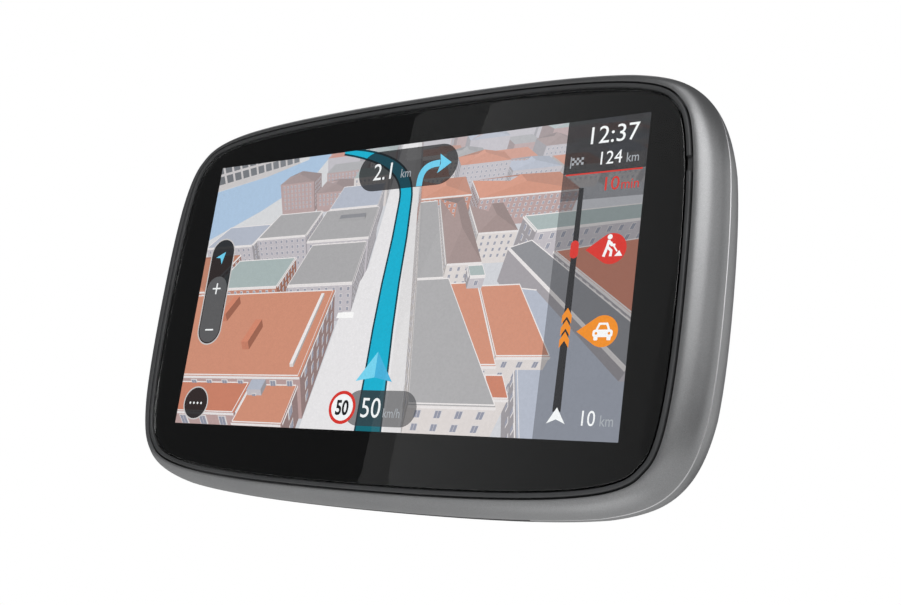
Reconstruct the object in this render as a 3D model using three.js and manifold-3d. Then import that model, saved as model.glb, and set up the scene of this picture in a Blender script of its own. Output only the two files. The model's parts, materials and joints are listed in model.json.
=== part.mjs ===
// Handheld satellite navigator: a five inch touch display in a slim painted case with a dock at the back.
// Millimetres. +X is the user's right, +Y runs from the glass to the back, +Z is up.
// Every shape is drawn with y = 0 on the crown of the bezel ring; the group is then centred on its depth.
import * as THREE from 'three';
import { mergeVertices } from 'three/addons/utils/BufferGeometryUtils.js';
import Module from 'manifold-3d';

const wasm = await Module();
wasm.setup();

// ---------- driving dimensions ----------

// Display: a 16:9 panel and the black glass border that surrounds its active area.
const DISPLAY_WIDTH = 110.88;
const DISPLAY_HEIGHT = 62.3;
const GLASS_BORDER_SIDE = 9.9;
const GLASS_BORDER_TOP = 8.8;
const GLASS_BORDER_BOTTOM = 12.1;

// Case: how far it stands out past the groove round the bezel ring, and its depths.
const CASE_OVERHANG_SIDE = 5.1;
const CASE_OVERHANG_TOP = 3.05;
const FRONT_SHELL_DEPTH = 6.1;
const REAR_SWEEP_DEPTH = 13.4;
const BACK_CROWN = 0.7;
const CROWN_RINGS = [{ size: 0.66, rise: 0.64 }, { size: 0.33, rise: 1 }];
const BACK_INSET_SIDE = 7.0;
const BACK_INSET_TOP = 3.7;

// Corner shapes of the three outlines: how far the corner point lies in from the two sides,
// the slope there, and the reach and pull of the curves that run into it.
const RIM_CORNER = { inX: 4.8, inZ: 6.55, slope: 0.89, reachX: 15.8, reachZ: 9.8, pullX: 4.6, pullZ: 3.2 };
const CASE_CORNER = { inX: 6.5, inZ: 7.5, slope: 0.93, reachX: 16.6, reachZ: 10.0, pullX: 5.2, pullZ: 4.0 };
const BACK_CORNER = { inX: 7.4, inZ: 8.8, slope: 0.9, reachX: 19.0, reachZ: 13.0, pullX: 5.6, pullZ: 4.6 };

// Bezel ring and the grooves beside it.
const RING_WIDTH = 0.87;
const RING_DEPTH = 2.0;
const RING_ROUND = 0.3;
const RING_GROOVE = 0.36;
const GLASS_GROOVE = 0.3;
const MIC_NOTCH_HEIGHT = 3.0;
const MIC_NOTCH_DEPTH = 1.0;
const MIC_HEIGHT = 21.4;
const MIC_FROM_RIM = 2.0;
const MIC_RADIUS = 1.8;
const MIC_THICKNESS = 1.3;
const SOUND_HOLE_RADIUS = 0.5;

// Glass and display stack.
const GLASS_RECESS = 0.3;
const GLASS_THICKNESS = 1.0;
const GLASS_BEVEL = 0.25;
const BOND_GAP = 0.15;
const TOUCH_THICKNESS = 0.4;
const PANEL_THICKNESS = 1.3;
const BACKLIGHT_THICKNESS = 2.1;
const PANEL_BORDER_SIDE = 2.2;
const PANEL_BORDER_TOP = 1.6;
const PANEL_BORDER_BOTTOM = 4.5;
const GASKET_THICKNESS = 0.7;
const TRAY_WALL = 0.5;

// Walls and clearances.
const FIT_GAP = 0.3;
const PARTING_GAP = 0.15;
const SHELL_WALL = 1.5;
const FLANGE_THICKNESS = 1.3;
const LIP_HEIGHT = 0.3;
const LIP_LAND = 0.2;
const COVER_WALL = 2.0;
const TONGUE_THICKNESS = 1.05;
const TONGUE_GAP = 0.35;
const TONGUE_REACH = 1.35;
const COVER_RIM_DEPTH = 2.2;
const WINDOW_FLEX_GAP = 1.4;
const FLEX_SIDE_GAP = 1.0;
const JOIN_DEPTH = 0.4;
const FAR = 200.0;

// Mid frame and main board.
const MID_FRAME_THICKNESS = 1.2;
const BOARD_STANDOFF = 0.9;
const BOARD_THICKNESS = 1.0;
const BOARD_MARGIN_X = 7.0;
const BOARD_MARGIN_Z = 7.5;
const BOARD_STRIP_HEIGHT = 12.0;
const BOARD_TAIL_WIDTH = 22.0;
const BOARD_SCREW_INSET = 2.6;
const STANDOFF_RADIUS = 2.2;
const BATTERY_WIDTH = 46.0;
const BATTERY_HEIGHT = 30.0;
const BATTERY_THICKNESS = 5.2;
const BATTERY_FROM_BOTTOM = 1.7;
const BATTERY_EDGE = 0.5;
const BATTERY_CORNER = 2.0;
const BATTERY_GAP = 2.0;
const PAD_THICKNESS = 0.5;
const PAD_MARGIN = 3.0;

// Parts on the board: width, height and thickness, with the distance of the left or right edge from that
// side of the board's main area and of the top or bottom edge from the board's top or bottom.
const CAN_WALL = 0.3;
const GPS_ANTENNA = { left: 2.0, top: 5.0, width: 15.0, height: 15.0, thickness: 3.6 };
const PROCESSOR = { left: 23.0, top: 4.0, width: 13.0, height: 13.0, thickness: 1.1 };
const PROCESSOR_CAN = { left: 21.0, top: 2.0, width: 18.0, height: 17.0, thickness: 1.7 };
const RADIO_CAN = { left: 41.0, top: 2.0, width: 10.0, height: 9.0, thickness: 1.5 };
const MEMORY_CHIP = { left: 24.0, top: 20.5, width: 11.0, height: 8.5, thickness: 1.0 };
const POWER_CHIP = { right: 2.0, bottom: 9.0, width: 7.0, height: 7.0, thickness: 0.9 };
const BATTERY_CONNECTOR = { right: 0.5, bottom: 19.0, width: 4.5, height: 6.0, thickness: 2.2 };
const CARD_SOCKET = {
  left: 0.6, bottom: 2 * BOARD_SCREW_INSET + FIT_GAP, width: 14.0, height: 13.2, thickness: 1.4,
};
const DISPLAY_CONNECTOR = { bottom: 2.3, width: 16.0, height: 3.0, thickness: 1.0 };
const BLUETOOTH_ANTENNA = { top: 0.5, width: 16.0, height: 3.0, thickness: 1.2, fromButton: 14.0 };

// Flat cables from the display to the board.
const FLEX_THICKNESS = 0.2;
const DISPLAY_FLEX_X = -19.5;
const DISPLAY_FLEX_WIDTH = 14.0;
const TOUCH_FLEX_X = -44.0;
const TOUCH_FLEX_WIDTH = 7.0;
const FLEX_BEND = 0.5;
const FLEX_LANDING = 2.0;

// Dock recess in the back, open at the bottom edge.
const DOCK_WIDTH = 73.0;
const DOCK_HEIGHT = 24.0;
const DOCK_WALL = 1.6;
const DOCK_FLOOR = 1.8;
const DOCK_SCREW_SEAT = 1.35;
const DOCK_SCREW_INSET = 4.4;
const DOCK_CORNER_RADIUS = 7.0;
const TOWER_RADIUS = 2.4;
const MAGNET_RADIUS = 6.0;
const MAGNET_THICKNESS = 2.0;
const MAGNET_SPACING = 44.0;
const MAGNET_BELOW_CONTACTS = 3.5;
const CONTACT_COUNT = 4;
const CONTACT_PITCH = 4.0;
const CONTACT_RADIUS = 1.0;
const CONTACT_LENGTH = 1.05;
const CONTACT_RECESS = 0.05;
const CONTACT_BLOCK_HALF_HEIGHT = 2.2;
const CONTACT_BLOCK_CORNER = 1.2;
const CONTACT_BLOCK_RECESS = 0.2;
const CONTACT_FROM_DOCK_TOP = 6.0;

// Sockets.
const USB_WIDTH = 7.8;
const USB_DEPTH = 2.6;
const USB_LENGTH = 5.6;
const USB_SHELL_WALL = 0.35;
const USB_INSET = 0.6;
const USB_TONGUE_WIDTH = 3.8;
const USB_TONGUE_THICKNESS = 0.6;
const USB_TONGUE_INSET = 0.8;
const CARD_SLOT_HEIGHT = 12.0;
const CARD_SLOT_WIDTH = 1.5;

// Speaker and its grille.
const SPEAKER_WIDTH = 28.0;
const SPEAKER_HEIGHT = 15.0;
const SPEAKER_THICKNESS = 4.2;
const SPEAKER_CORNER = 5.0;
const BASKET_INSET = 1.6;
const BASKET_WALL = 1.0;
const CONE_INSET = 3.0;
const CONE_THICKNESS = 0.9;
const SPEAKER_GASKET_THICKNESS = 0.5;
const GRILLE_SEAT = 0.4;
const GRILLE_CORNER = 4.0;
const GRILLE_BELOW_MIDDLE = 4.0;
const GRILLE_MARGIN = 2.2;
const GRILLE_SHORTER = 1.0;
const GRILLE_SLOT_COUNT = 9;
const GRILLE_SLOT_PITCH = 2.8;
const GRILLE_SLOT_WIDTH = 1.2;

// Power button: a pill-shaped key in the back that travels towards the glass.
const BUTTON_LENGTH = 13.0;
const BUTTON_HEIGHT = 6.0;
const BUTTON_PROUD = 0.35;
const BUTTON_TRAVEL = 0.4;
const BUTTON_FLANGE = 1.0;
const BUTTON_FLANGE_THICKNESS = 0.8;
const BUTTON_FROM_SIDE = 23.0;
const BUTTON_FROM_TOP = 14.6;
const BUTTON_STEM_RADIUS = 1.3;
const SWITCH_SIZE = 4.6;
const SWITCH_THICKNESS = 1.6;
const PLUNGER_RADIUS = 1.1;
const PLUNGER_WELL = 1.0;
const PLUNGER_PRESSED_GAP = 0.1;

// Screws.
const SCREW_RADIUS = 0.8;
const SCREW_HEAD_RADIUS = 1.8;
const SCREW_HEAD_HEIGHT = 1.0;
const SCREW_HEAD_CHAMFER = 0.35;
const SCREW_POINT = 0.7;
const SCREW_SOCKET_RADIUS = 0.75;
const SCREW_SOCKET_DEPTH = 0.6;
const SCREW_END_GAP = 0.5;
const SCREW_BORE = SCREW_RADIUS + FIT_GAP;
const POST_RADIUS = 2.2;
const POST_FROM_SIDE = 4.1;
const POST_FROM_TOP = 11.6;

// Smoothness of the outlines and round parts.
const LONG_SIDE_STEPS = 8;
const SHORT_SIDE_STEPS = 6;
const SWEEP_STEPS = 6;
const ROUND_STEPS = 20;
const SMALL_ROUND_STEPS = 14;

// ---------- depths that follow from the sizes above ----------

const DISPLAY_Z = (GLASS_BORDER_BOTTOM - GLASS_BORDER_TOP) / 2;
const RIM_HALF_WIDTH = DISPLAY_WIDTH / 2 + GLASS_BORDER_SIDE;
const RIM_HALF_HEIGHT = (DISPLAY_HEIGHT + GLASS_BORDER_TOP + GLASS_BORDER_BOTTOM) / 2;
const CASE_HALF_WIDTH = RIM_HALF_WIDTH + CASE_OVERHANG_SIDE;
const CASE_HALF_HEIGHT = RIM_HALF_HEIGHT + CASE_OVERHANG_TOP;

const GLASS_BACK = GLASS_RECESS + GLASS_THICKNESS;
const TOUCH_FRONT = GLASS_BACK + BOND_GAP;
const PANEL_FRONT = TOUCH_FRONT + TOUCH_THICKNESS + BOND_GAP;
const BACKLIGHT_FRONT = PANEL_FRONT + PANEL_THICKNESS + BOND_GAP;
const BACKLIGHT_BACK = BACKLIGHT_FRONT + BACKLIGHT_THICKNESS;
const FLANGE_FRONT = Math.max(RING_DEPTH, GLASS_BACK + BOND_GAP + GASKET_THICKNESS) + FIT_GAP;
const FLANGE_BACK = FLANGE_FRONT + FLANGE_THICKNESS;
const TRAY_FLOOR = Math.max(BACKLIGHT_BACK, FLANGE_BACK) + FIT_GAP;
const TRAY_BACK = TRAY_FLOOR + TRAY_WALL;
const MID_FRONT = Math.max(TRAY_BACK, FRONT_SHELL_DEPTH) + FIT_GAP + PARTING_GAP;
const MID_BACK = MID_FRONT + MID_FRAME_THICKNESS;
const BOARD_FRONT = MID_BACK + BOARD_STANDOFF;
const BOARD_BACK = BOARD_FRONT + BOARD_THICKNESS;
const PART_FRONT = BOARD_BACK + FIT_GAP;

const COVER_FRONT = FRONT_SHELL_DEPTH + PARTING_GAP;
const SWEEP_BACK = COVER_FRONT + REAR_SWEEP_DEPTH;
const TOTAL_DEPTH = SWEEP_BACK + BACK_CROWN;
const COVER_INNER_BACK = SWEEP_BACK - COVER_WALL;
const COVER_RIM_BACK = Math.max(COVER_FRONT + COVER_RIM_DEPTH, MID_BACK + FIT_GAP);
const COVER_INSET = SHELL_WALL + TONGUE_GAP + TONGUE_THICKNESS;

const USB_FRONT = PART_FRONT;
const USB_BACK = USB_FRONT + USB_DEPTH;
const DOCK_FLOOR_FRONT = USB_BACK + FIT_GAP;
const DOCK_FLOOR_BACK = DOCK_FLOOR_FRONT + DOCK_FLOOR;
const DOCK_TOP = -CASE_HALF_HEIGHT + DOCK_HEIGHT;

// ---------- places that follow from the sizes above ----------

const PANEL_X = DISPLAY_WIDTH / 2 + PANEL_BORDER_SIDE;
const PANEL_TOP = DISPLAY_Z + DISPLAY_HEIGHT / 2 + PANEL_BORDER_TOP;
const PANEL_BOTTOM = DISPLAY_Z - DISPLAY_HEIGHT / 2 - PANEL_BORDER_BOTTOM;
const FLEX_Z = PANEL_BOTTOM - WINDOW_FLEX_GAP / 2;

const mirroredPairs = (x, z) => [[-x, z], [x, z], [-x, -z], [x, -z]];
const POST_CENTRES = mirroredPairs(RIM_HALF_WIDTH - POST_FROM_SIDE, RIM_HALF_HEIGHT - POST_FROM_TOP);
const MIC_X = RIM_HALF_WIDTH - MIC_FROM_RIM;
const MIC_FRONT = FLANGE_BACK + FIT_GAP;

const BOARD_LEFT = -RIM_HALF_WIDTH + BOARD_MARGIN_X;
const BOARD_RIGHT = RIM_HALF_WIDTH - BOARD_MARGIN_X;
const BOARD_TOP = RIM_HALF_HEIGHT - BOARD_MARGIN_Z;
const BOARD_BOTTOM = DOCK_TOP + FIT_GAP;
const BLOCK_RIGHT = BOARD_RIGHT - BATTERY_WIDTH - BATTERY_GAP;
const BOARD_SCREWS = [
  [BOARD_LEFT + BOARD_SCREW_INSET, BOARD_BOTTOM + BOARD_SCREW_INSET],
  [BOARD_LEFT + BOARD_SCREW_INSET, BOARD_TOP - BOARD_SCREW_INSET],
  [BOARD_RIGHT - BOARD_SCREW_INSET, BOARD_TOP - BOARD_SCREW_INSET],
  [BLOCK_RIGHT - BOARD_SCREW_INSET, BOARD_BOTTOM + BOARD_SCREW_INSET],
];
const COVER_SCREWS = [-1, 1].map((side) => [
  side * (DOCK_WIDTH / 2 - DOCK_WALL - DOCK_SCREW_INSET),
  DOCK_TOP - DOCK_WALL - DOCK_SCREW_INSET,
]);
const BATTERY_LEFT = BOARD_RIGHT - BATTERY_WIDTH;
const BATTERY_BOTTOM = BOARD_BOTTOM + BATTERY_FROM_BOTTOM;
const PAD_FRONT = MID_BACK + FIT_GAP;
const BATTERY_FRONT = PAD_FRONT + PAD_THICKNESS + FIT_GAP;

const CONTACT_Z = DOCK_TOP - DOCK_WALL - CONTACT_FROM_DOCK_TOP;
const CONTACT_HALF_WIDTH = (CONTACT_COUNT * CONTACT_PITCH) / 2;
const CONTACT_BACK = DOCK_FLOOR_BACK - CONTACT_RECESS;
const MAGNET_BACK = DOCK_FLOOR_FRONT - FIT_GAP;
const USB_MOUTH = -CASE_HALF_HEIGHT + USB_INSET;

const CARD_Y = PART_FRONT + CARD_SOCKET.thickness / 2;
const CARD_Z = BOARD_BOTTOM + CARD_SOCKET.bottom + CARD_SOCKET.height / 2;

// The speaker stands clear of the tall parts at the board's left edge.
const TALL_PARTS_RIGHT = Math.max(
  GPS_ANTENNA.left + GPS_ANTENNA.width,
  CARD_SOCKET.left + CARD_SOCKET.width,
);
const GRILLE_X = BOARD_LEFT + TALL_PARTS_RIGHT + FIT_GAP + SPEAKER_WIDTH / 2;
const GRILLE_Z = (DOCK_TOP + RIM_HALF_HEIGHT) / 2 - GRILLE_BELOW_MIDDLE;
const GRILLE_HALF_WIDTH = SPEAKER_WIDTH / 2;
const GRILLE_HALF_HEIGHT = SPEAKER_HEIGHT / 2 - GRILLE_SHORTER;
const GRILLE_FRONT = COVER_INNER_BACK + GRILLE_SEAT;
const SPEAKER_BACK = GRILLE_FRONT - FIT_GAP;
const SPEAKER_FRONT = SPEAKER_BACK - SPEAKER_THICKNESS;
const CONE_FRONT = SPEAKER_FRONT + BASKET_WALL + FIT_GAP;

const BUTTON_X = CASE_HALF_WIDTH - BUTTON_FROM_SIDE;
const BUTTON_Z = CASE_HALF_HEIGHT - BUTTON_FROM_TOP;
const BUTTON_FLANGE_FRONT = COVER_INNER_BACK - BUTTON_FLANGE_THICKNESS - BUTTON_TRAVEL - 2 * FIT_GAP;
const SWITCH_BACK = PART_FRONT + SWITCH_THICKNESS;
const STEM_FRONT = SWITCH_BACK + BUTTON_TRAVEL + 1.5 * FIT_GAP;
const PLUNGER_BACK = STEM_FRONT - FIT_GAP;
const PLUNGER_FRONT = SWITCH_BACK - PLUNGER_WELL + BUTTON_TRAVEL + PLUNGER_PRESSED_GAP;

// ---------- materials ----------

function paint(color, roughness, metalness) {
  return new THREE.MeshStandardMaterial({ color, roughness, metalness });
}
const SILVER_PAINT = paint(0x8d8e8f, 0.35, 0.75);
const RING_PLASTIC = paint(0x4b4c4d, 0.45, 0.2);
const BLACK_GLASS = paint(0x101112, 0.06, 0.0);
const CLEAR_FILM = paint(0x1c2124, 0.1, 0.0);
const PANEL_GLASS = paint(0x22282c, 0.15, 0.0);
const BLACK_PLASTIC = paint(0x18191a, 0.5, 0.0);
const GREY_PLASTIC = paint(0x3a3c3e, 0.6, 0.0);
const WHITE_PLASTIC = paint(0xd8d8d4, 0.5, 0.0);
const STEEL = paint(0xb4b6b8, 0.3, 1.0);
const BOARD_GREEN = paint(0x14452c, 0.5, 0.0);
const CHIP_BLACK = paint(0x1b1b1d, 0.55, 0.0);
const CERAMIC = paint(0xc9bfa8, 0.6, 0.0);
const COPPER_FILM = paint(0xa9662a, 0.4, 0.3);
const GOLD_PLATE = paint(0xd1a84c, 0.25, 1.0);
const FOAM = paint(0x2a2a2c, 0.95, 0.0);
const BATTERY_WRAP = paint(0x6e7f93, 0.4, 0.3);

// ---------- from geometry to solids and back ----------

function solidOf(geometry) {
  const bare = geometry.clone();
  bare.deleteAttribute('normal');
  bare.deleteAttribute('uv');
  const merged = mergeVertices(bare, 1e-4);
  const vertProperties = new Float32Array(merged.attributes.position.array);
  const triVerts = new Uint32Array(merged.index.array);
  return new wasm.Manifold(new wasm.Mesh({ numProp: 3, vertProperties, triVerts }));
}

function geometryOf(solid) {
  const mesh = solid.getMesh();
  const geometry = new THREE.BufferGeometry();
  geometry.setAttribute('position', new THREE.BufferAttribute(new Float32Array(mesh.vertProperties), 3));
  geometry.setIndex(new THREE.BufferAttribute(new Uint32Array(mesh.triVerts), 1));
  geometry.computeVertexNormals();
  return geometry;
}

const united = (solids) => solids.reduce((whole, piece) => whole.add(piece));
const without = (solid, cuts) => cuts.reduce((left, cut) => left.subtract(cut), solid);

function block(x0, x1, y0, y1, z0, z1) {
  const geometry = new THREE.BoxGeometry(x1 - x0, y1 - y0, z1 - z0);
  geometry.translate((x0 + x1) / 2, (y0 + y1) / 2, (z0 + z1) / 2);
  return solidOf(geometry);
}

// A flat outline of [x, z] points, drawn out from y0 to y1.
function prism(points, y0, y1) {
  const shape = new THREE.Shape(points.map(([x, z]) => new THREE.Vector2(x, z)));
  const geometry = new THREE.ExtrudeGeometry(shape, { depth: y1 - y0, bevelEnabled: false });
  geometry.rotateX(Math.PI / 2);
  geometry.translate(0, y1, 0);
  return solidOf(geometry);
}

// A round rod along y.
function rod(x, z, radius, y0, y1, steps = ROUND_STEPS) {
  const geometry = new THREE.CylinderGeometry(radius, radius, y1 - y0, steps);
  geometry.translate(x, (y0 + y1) / 2, z);
  return solidOf(geometry);
}

// A screw along y with its head at the back: the profile is [radius, y] from tip to head.
function screw(x, z, tip, headFront) {
  const crown = headFront + SCREW_HEAD_HEIGHT;
  const profile = [
    [0, tip],
    [SCREW_RADIUS * SCREW_POINT, tip],
    [SCREW_RADIUS, tip + SCREW_RADIUS / 2],
    [SCREW_RADIUS, headFront],
    [SCREW_HEAD_RADIUS, headFront],
    [SCREW_HEAD_RADIUS, crown - SCREW_HEAD_CHAMFER],
    [SCREW_HEAD_RADIUS - SCREW_HEAD_CHAMFER, crown],
    [0, crown],
  ];
  const points = profile.map(([r, y]) => new THREE.Vector2(r, y));
  const geometry = new THREE.LatheGeometry(points, SMALL_ROUND_STEPS);
  geometry.translate(x, 0, z);
  const depth = SCREW_SOCKET_DEPTH * 2;
  const socket = new THREE.CylinderGeometry(SCREW_SOCKET_RADIUS, SCREW_SOCKET_RADIUS, depth, 6);
  socket.translate(x, crown, z);
  return solidOf(geometry).subtract(solidOf(socket));
}

// ---------- outlines, as rings of [x, z] points that run the same way round ----------

function cubic(p0, p1, p2, p3, steps) {
  const curve = new THREE.CubicBezierCurve(...[p0, p1, p2, p3].map(([x, z]) => new THREE.Vector2(x, z)));
  return curve.getPoints(steps).map((p) => [p.x, p.y]);
}

// A soft rectangle with bowed sides, made of two curves a quarter that meet at the corner point.
function softRectangle(halfWidth, halfHeight, corner) {
  const cornerX = halfWidth - corner.inX;
  const cornerZ = halfHeight - corner.inZ;
  const slopeX = Math.cos(corner.slope);
  const slopeZ = Math.sin(corner.slope);
  const top = cubic(
    [0, halfHeight],
    [halfWidth - corner.reachX, halfHeight],
    [cornerX - slopeX * corner.pullX, cornerZ + slopeZ * corner.pullX],
    [cornerX, cornerZ],
    LONG_SIDE_STEPS,
  );
  const side = cubic(
    [cornerX, cornerZ],
    [cornerX + slopeX * corner.pullZ, cornerZ - slopeZ * corner.pullZ],
    [halfWidth, halfHeight - corner.reachZ],
    [halfWidth, 0],
    SHORT_SIDE_STEPS,
  );
  const quarter = top.slice(0, -1).concat(side);
  const half = quarter.concat(quarter.slice(0, -1).reverse().map(([x, z]) => [x, -z]));
  return half.concat(half.slice(1, -1).reverse().map(([x, z]) => [-x, z]));
}

// The outline moved outward by a distance along its own normals.
function offset(points, distance) {
  const count = points.length;
  return points.map(([x, z], i) => {
    const [ax, az] = points[(i + count - 1) % count];
    const [bx, bz] = points[(i + 1) % count];
    const length = Math.hypot(bx - ax, bz - az);
    return [x - ((bz - az) / length) * distance, z + ((bx - ax) / length) * distance];
  });
}

const mixed = (from, to, share) => from.map(([x, z], i) => [
  x + (to[i][0] - x) * share,
  z + (to[i][1] - z) * share,
]);

const scaled = (points, factor) => points.map(([x, z]) => [x * factor, z * factor]);

function roundedRectangle(x0, x1, z0, z1, radius) {
  const arcSteps = 5;
  const centres = [[x1 - radius, z1 - radius, 0], [x0 + radius, z1 - radius, 1],
    [x0 + radius, z0 + radius, 2], [x1 - radius, z0 + radius, 3]];
  return centres.flatMap(([cx, cz, turn]) => Array.from({ length: arcSteps + 1 }, (unused, i) => {
    const angle = (turn + i / arcSteps) * (Math.PI / 2);
    return [cx + radius * Math.cos(angle), cz + radius * Math.sin(angle)];
  }));
}

// A skin through a chain of outlines, closed by a fan at both ends or, when looped, onto its own start.
function loft(stations, looped = false, [centreX, centreZ] = [0, 0]) {
  const count = stations[0].points.length;
  const positions = stations.flatMap(({ points, y }) => points.flatMap(([x, z]) => [x, y, z]));
  const triangles = [];
  const last = looped ? stations.length : stations.length - 1;
  for (let s = 0; s < last; s += 1) {
    const a = s * count;
    const b = ((s + 1) % stations.length) * count;
    for (let i = 0; i < count; i += 1) {
      const j = (i + 1) % count;
      triangles.push(a + i, b + i, b + j, a + i, b + j, a + j);
    }
  }
  if (!looped) {
    const start = positions.length / 3;
    positions.push(centreX, stations[0].y, centreZ, centreX, stations[stations.length - 1].y, centreZ);
    const end = (stations.length - 1) * count;
    for (let i = 0; i < count; i += 1) {
      const j = (i + 1) % count;
      triangles.push(start, i, j, start + 1, end + j, end + i);
    }
  }
  const geometry = new THREE.BufferGeometry();
  geometry.setAttribute('position', new THREE.Float32BufferAttribute(positions, 3));
  geometry.setIndex(signedVolume(positions, triangles) < 0 ? triangles.reverse() : triangles);
  return solidOf(geometry);
}

function signedVolume(positions, triangles) {
  const corner = (i) => new THREE.Vector3().fromArray(positions, triangles[i] * 3);
  let volume = 0;
  for (let i = 0; i < triangles.length; i += 3) {
    volume += corner(i).dot(corner(i + 1).cross(corner(i + 2)));
  }
  return volume;
}

const RIM = softRectangle(RIM_HALF_WIDTH, RIM_HALF_HEIGHT, RIM_CORNER);
const CASE = softRectangle(CASE_HALF_WIDTH, CASE_HALF_HEIGHT, CASE_CORNER);
const BACK = softRectangle(
  CASE_HALF_WIDTH - BACK_INSET_SIDE,
  CASE_HALF_HEIGHT - BACK_INSET_TOP,
  BACK_CORNER,
);

const RING_OUTER = offset(RIM, -RING_GROOVE / 2);
const RING_INNER = offset(RING_OUTER, -RING_WIDTH);
const GLASS = offset(RING_INNER, -GLASS_GROOVE);
const INSIDE = offset(CASE, -COVER_INSET);

// ---------- the case front, the glass and the display ----------

const device = new THREE.Group();
device.position.y = -TOTAL_DEPTH / 2;

function place(name, solid, material) {
  const mesh = new THREE.Mesh(geometryOf(solid), material);
  mesh.name = name;
  device.add(mesh);
}

// The display window, with a notch below it where the flat cables pass.
function windowCut() {
  const x = PANEL_X + FIT_GAP;
  const window = block(-x, x, 0, TRAY_BACK, PANEL_BOTTOM - FIT_GAP, PANEL_TOP + FIT_GAP);
  const left = TOUCH_FLEX_X - TOUCH_FLEX_WIDTH / 2 - FLEX_SIDE_GAP;
  const right = DISPLAY_FLEX_X + DISPLAY_FLEX_WIDTH / 2 + FLEX_SIDE_GAP;
  const notch = block(left, right, 0, TRAY_BACK, PANEL_BOTTOM - WINDOW_FLEX_GAP, PANEL_BOTTOM);
  return window.add(notch);
}

// Front shell: a bullnose frame with a flange that carries the ring and the glass.
function frontShell() {
  const lip = offset(RIM, RING_GROOVE / 2);
  const bullnose = Array.from({ length: SWEEP_STEPS + 1 }, (unused, i) => {
    const turn = (i / SWEEP_STEPS) * (Math.PI / 2);
    return {
      points: mixed(offset(lip, LIP_LAND / 4), CASE, Math.sin(turn)),
      y: LIP_HEIGHT + (FRONT_SHELL_DEPTH - LIP_HEIGHT) * (1 - Math.cos(turn)),
    };
  });
  const wall = offset(CASE, -SHELL_WALL);
  const outerWall = loft([
    { points: lip, y: FLANGE_FRONT },
    { points: lip, y: LIP_HEIGHT + LIP_LAND },
    ...bullnose,
    { points: wall, y: FRONT_SHELL_DEPTH },
    { points: wall, y: FLANGE_BACK + FLANGE_THICKNESS / 2 },
    { points: offset(wall, -FLANGE_THICKNESS), y: FLANGE_BACK },
  ]);
  const postFront = FLANGE_BACK - JOIN_DEPTH;
  const posts = POST_CENTRES.map(([x, z]) => rod(x, z, POST_RADIUS, postFront, MID_FRONT - FIT_GAP));
  const holes = POST_CENTRES.map(([x, z]) => rod(x, z, SCREW_BORE, FLANGE_BACK + FIT_GAP, MID_BACK));
  const soundHole = rod(MIC_X, MIC_HEIGHT, SOUND_HOLE_RADIUS, RING_DEPTH, MIC_FRONT, SMALL_ROUND_STEPS);
  return without(united([outerWall, ...posts]), [...holes, windowCut(), soundHole]);
}

// Bezel ring: a thin rounded band round the glass, with a notch that lets sound in to the microphone.
function bezelRing() {
  const ring = loft([
    { points: RING_OUTER, y: RING_DEPTH },
    { points: RING_OUTER, y: RING_ROUND },
    { points: offset(RING_OUTER, -RING_ROUND), y: 0 },
    { points: offset(RING_INNER, RING_ROUND), y: 0 },
    { points: RING_INNER, y: RING_ROUND },
    { points: RING_INNER, y: RING_DEPTH },
  ], true);
  const notch = block(
    RIM_HALF_WIDTH / 2, CASE_HALF_WIDTH, -RING_DEPTH, MIC_NOTCH_DEPTH,
    MIC_HEIGHT - MIC_NOTCH_HEIGHT / 2, MIC_HEIGHT + MIC_NOTCH_HEIGHT / 2,
  );
  return ring.subtract(notch);
}

function coverGlass() {
  return loft([
    { points: offset(GLASS, -GLASS_BEVEL), y: GLASS_RECESS },
    { points: GLASS, y: GLASS_RECESS + GLASS_BEVEL },
    { points: GLASS, y: GLASS_BACK },
  ]);
}

function glassGasket() {
  const front = GLASS_BACK + BOND_GAP;
  return prism(offset(GLASS, -FIT_GAP), front, front + GASKET_THICKNESS).subtract(windowCut());
}

function panelLayer(front, thickness) {
  return block(-PANEL_X, PANEL_X, front, front + thickness, PANEL_BOTTOM, PANEL_TOP);
}

const flexSlot = (x, width, backEnd) => block(
  x - width / 2 - FIT_GAP, x + width / 2 + FIT_GAP, 0, backEnd,
  FLEX_Z - FLEX_THICKNESS / 2 - FIT_GAP, PANEL_BOTTOM + TRAY_WALL,
);
const flexSlots = (backEnd) => [
  flexSlot(DISPLAY_FLEX_X, DISPLAY_FLEX_WIDTH, backEnd),
  flexSlot(TOUCH_FLEX_X, TOUCH_FLEX_WIDTH, backEnd),
];

// Display tray: a thin pan behind the panel, slotted in its lower wall for the flat cables.
function displayTray() {
  const tray = (grow, front, back) => block(
    -PANEL_X - grow, PANEL_X + grow, front, back, PANEL_BOTTOM - grow, PANEL_TOP + grow,
  );
  const pan = tray(FIT_GAP + TRAY_WALL, FLANGE_BACK + FIT_GAP, TRAY_BACK);
  const belowHollow = block(-PANEL_X, PANEL_X, 0, MID_BACK, -CASE_HALF_HEIGHT, PANEL_BOTTOM - FIT_GAP);
  const slots = flexSlots(MID_BACK).map((slot) => slot.intersect(belowHollow));
  return without(pan, [tray(FIT_GAP, 0, TRAY_FLOOR), ...slots]);
}

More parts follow.
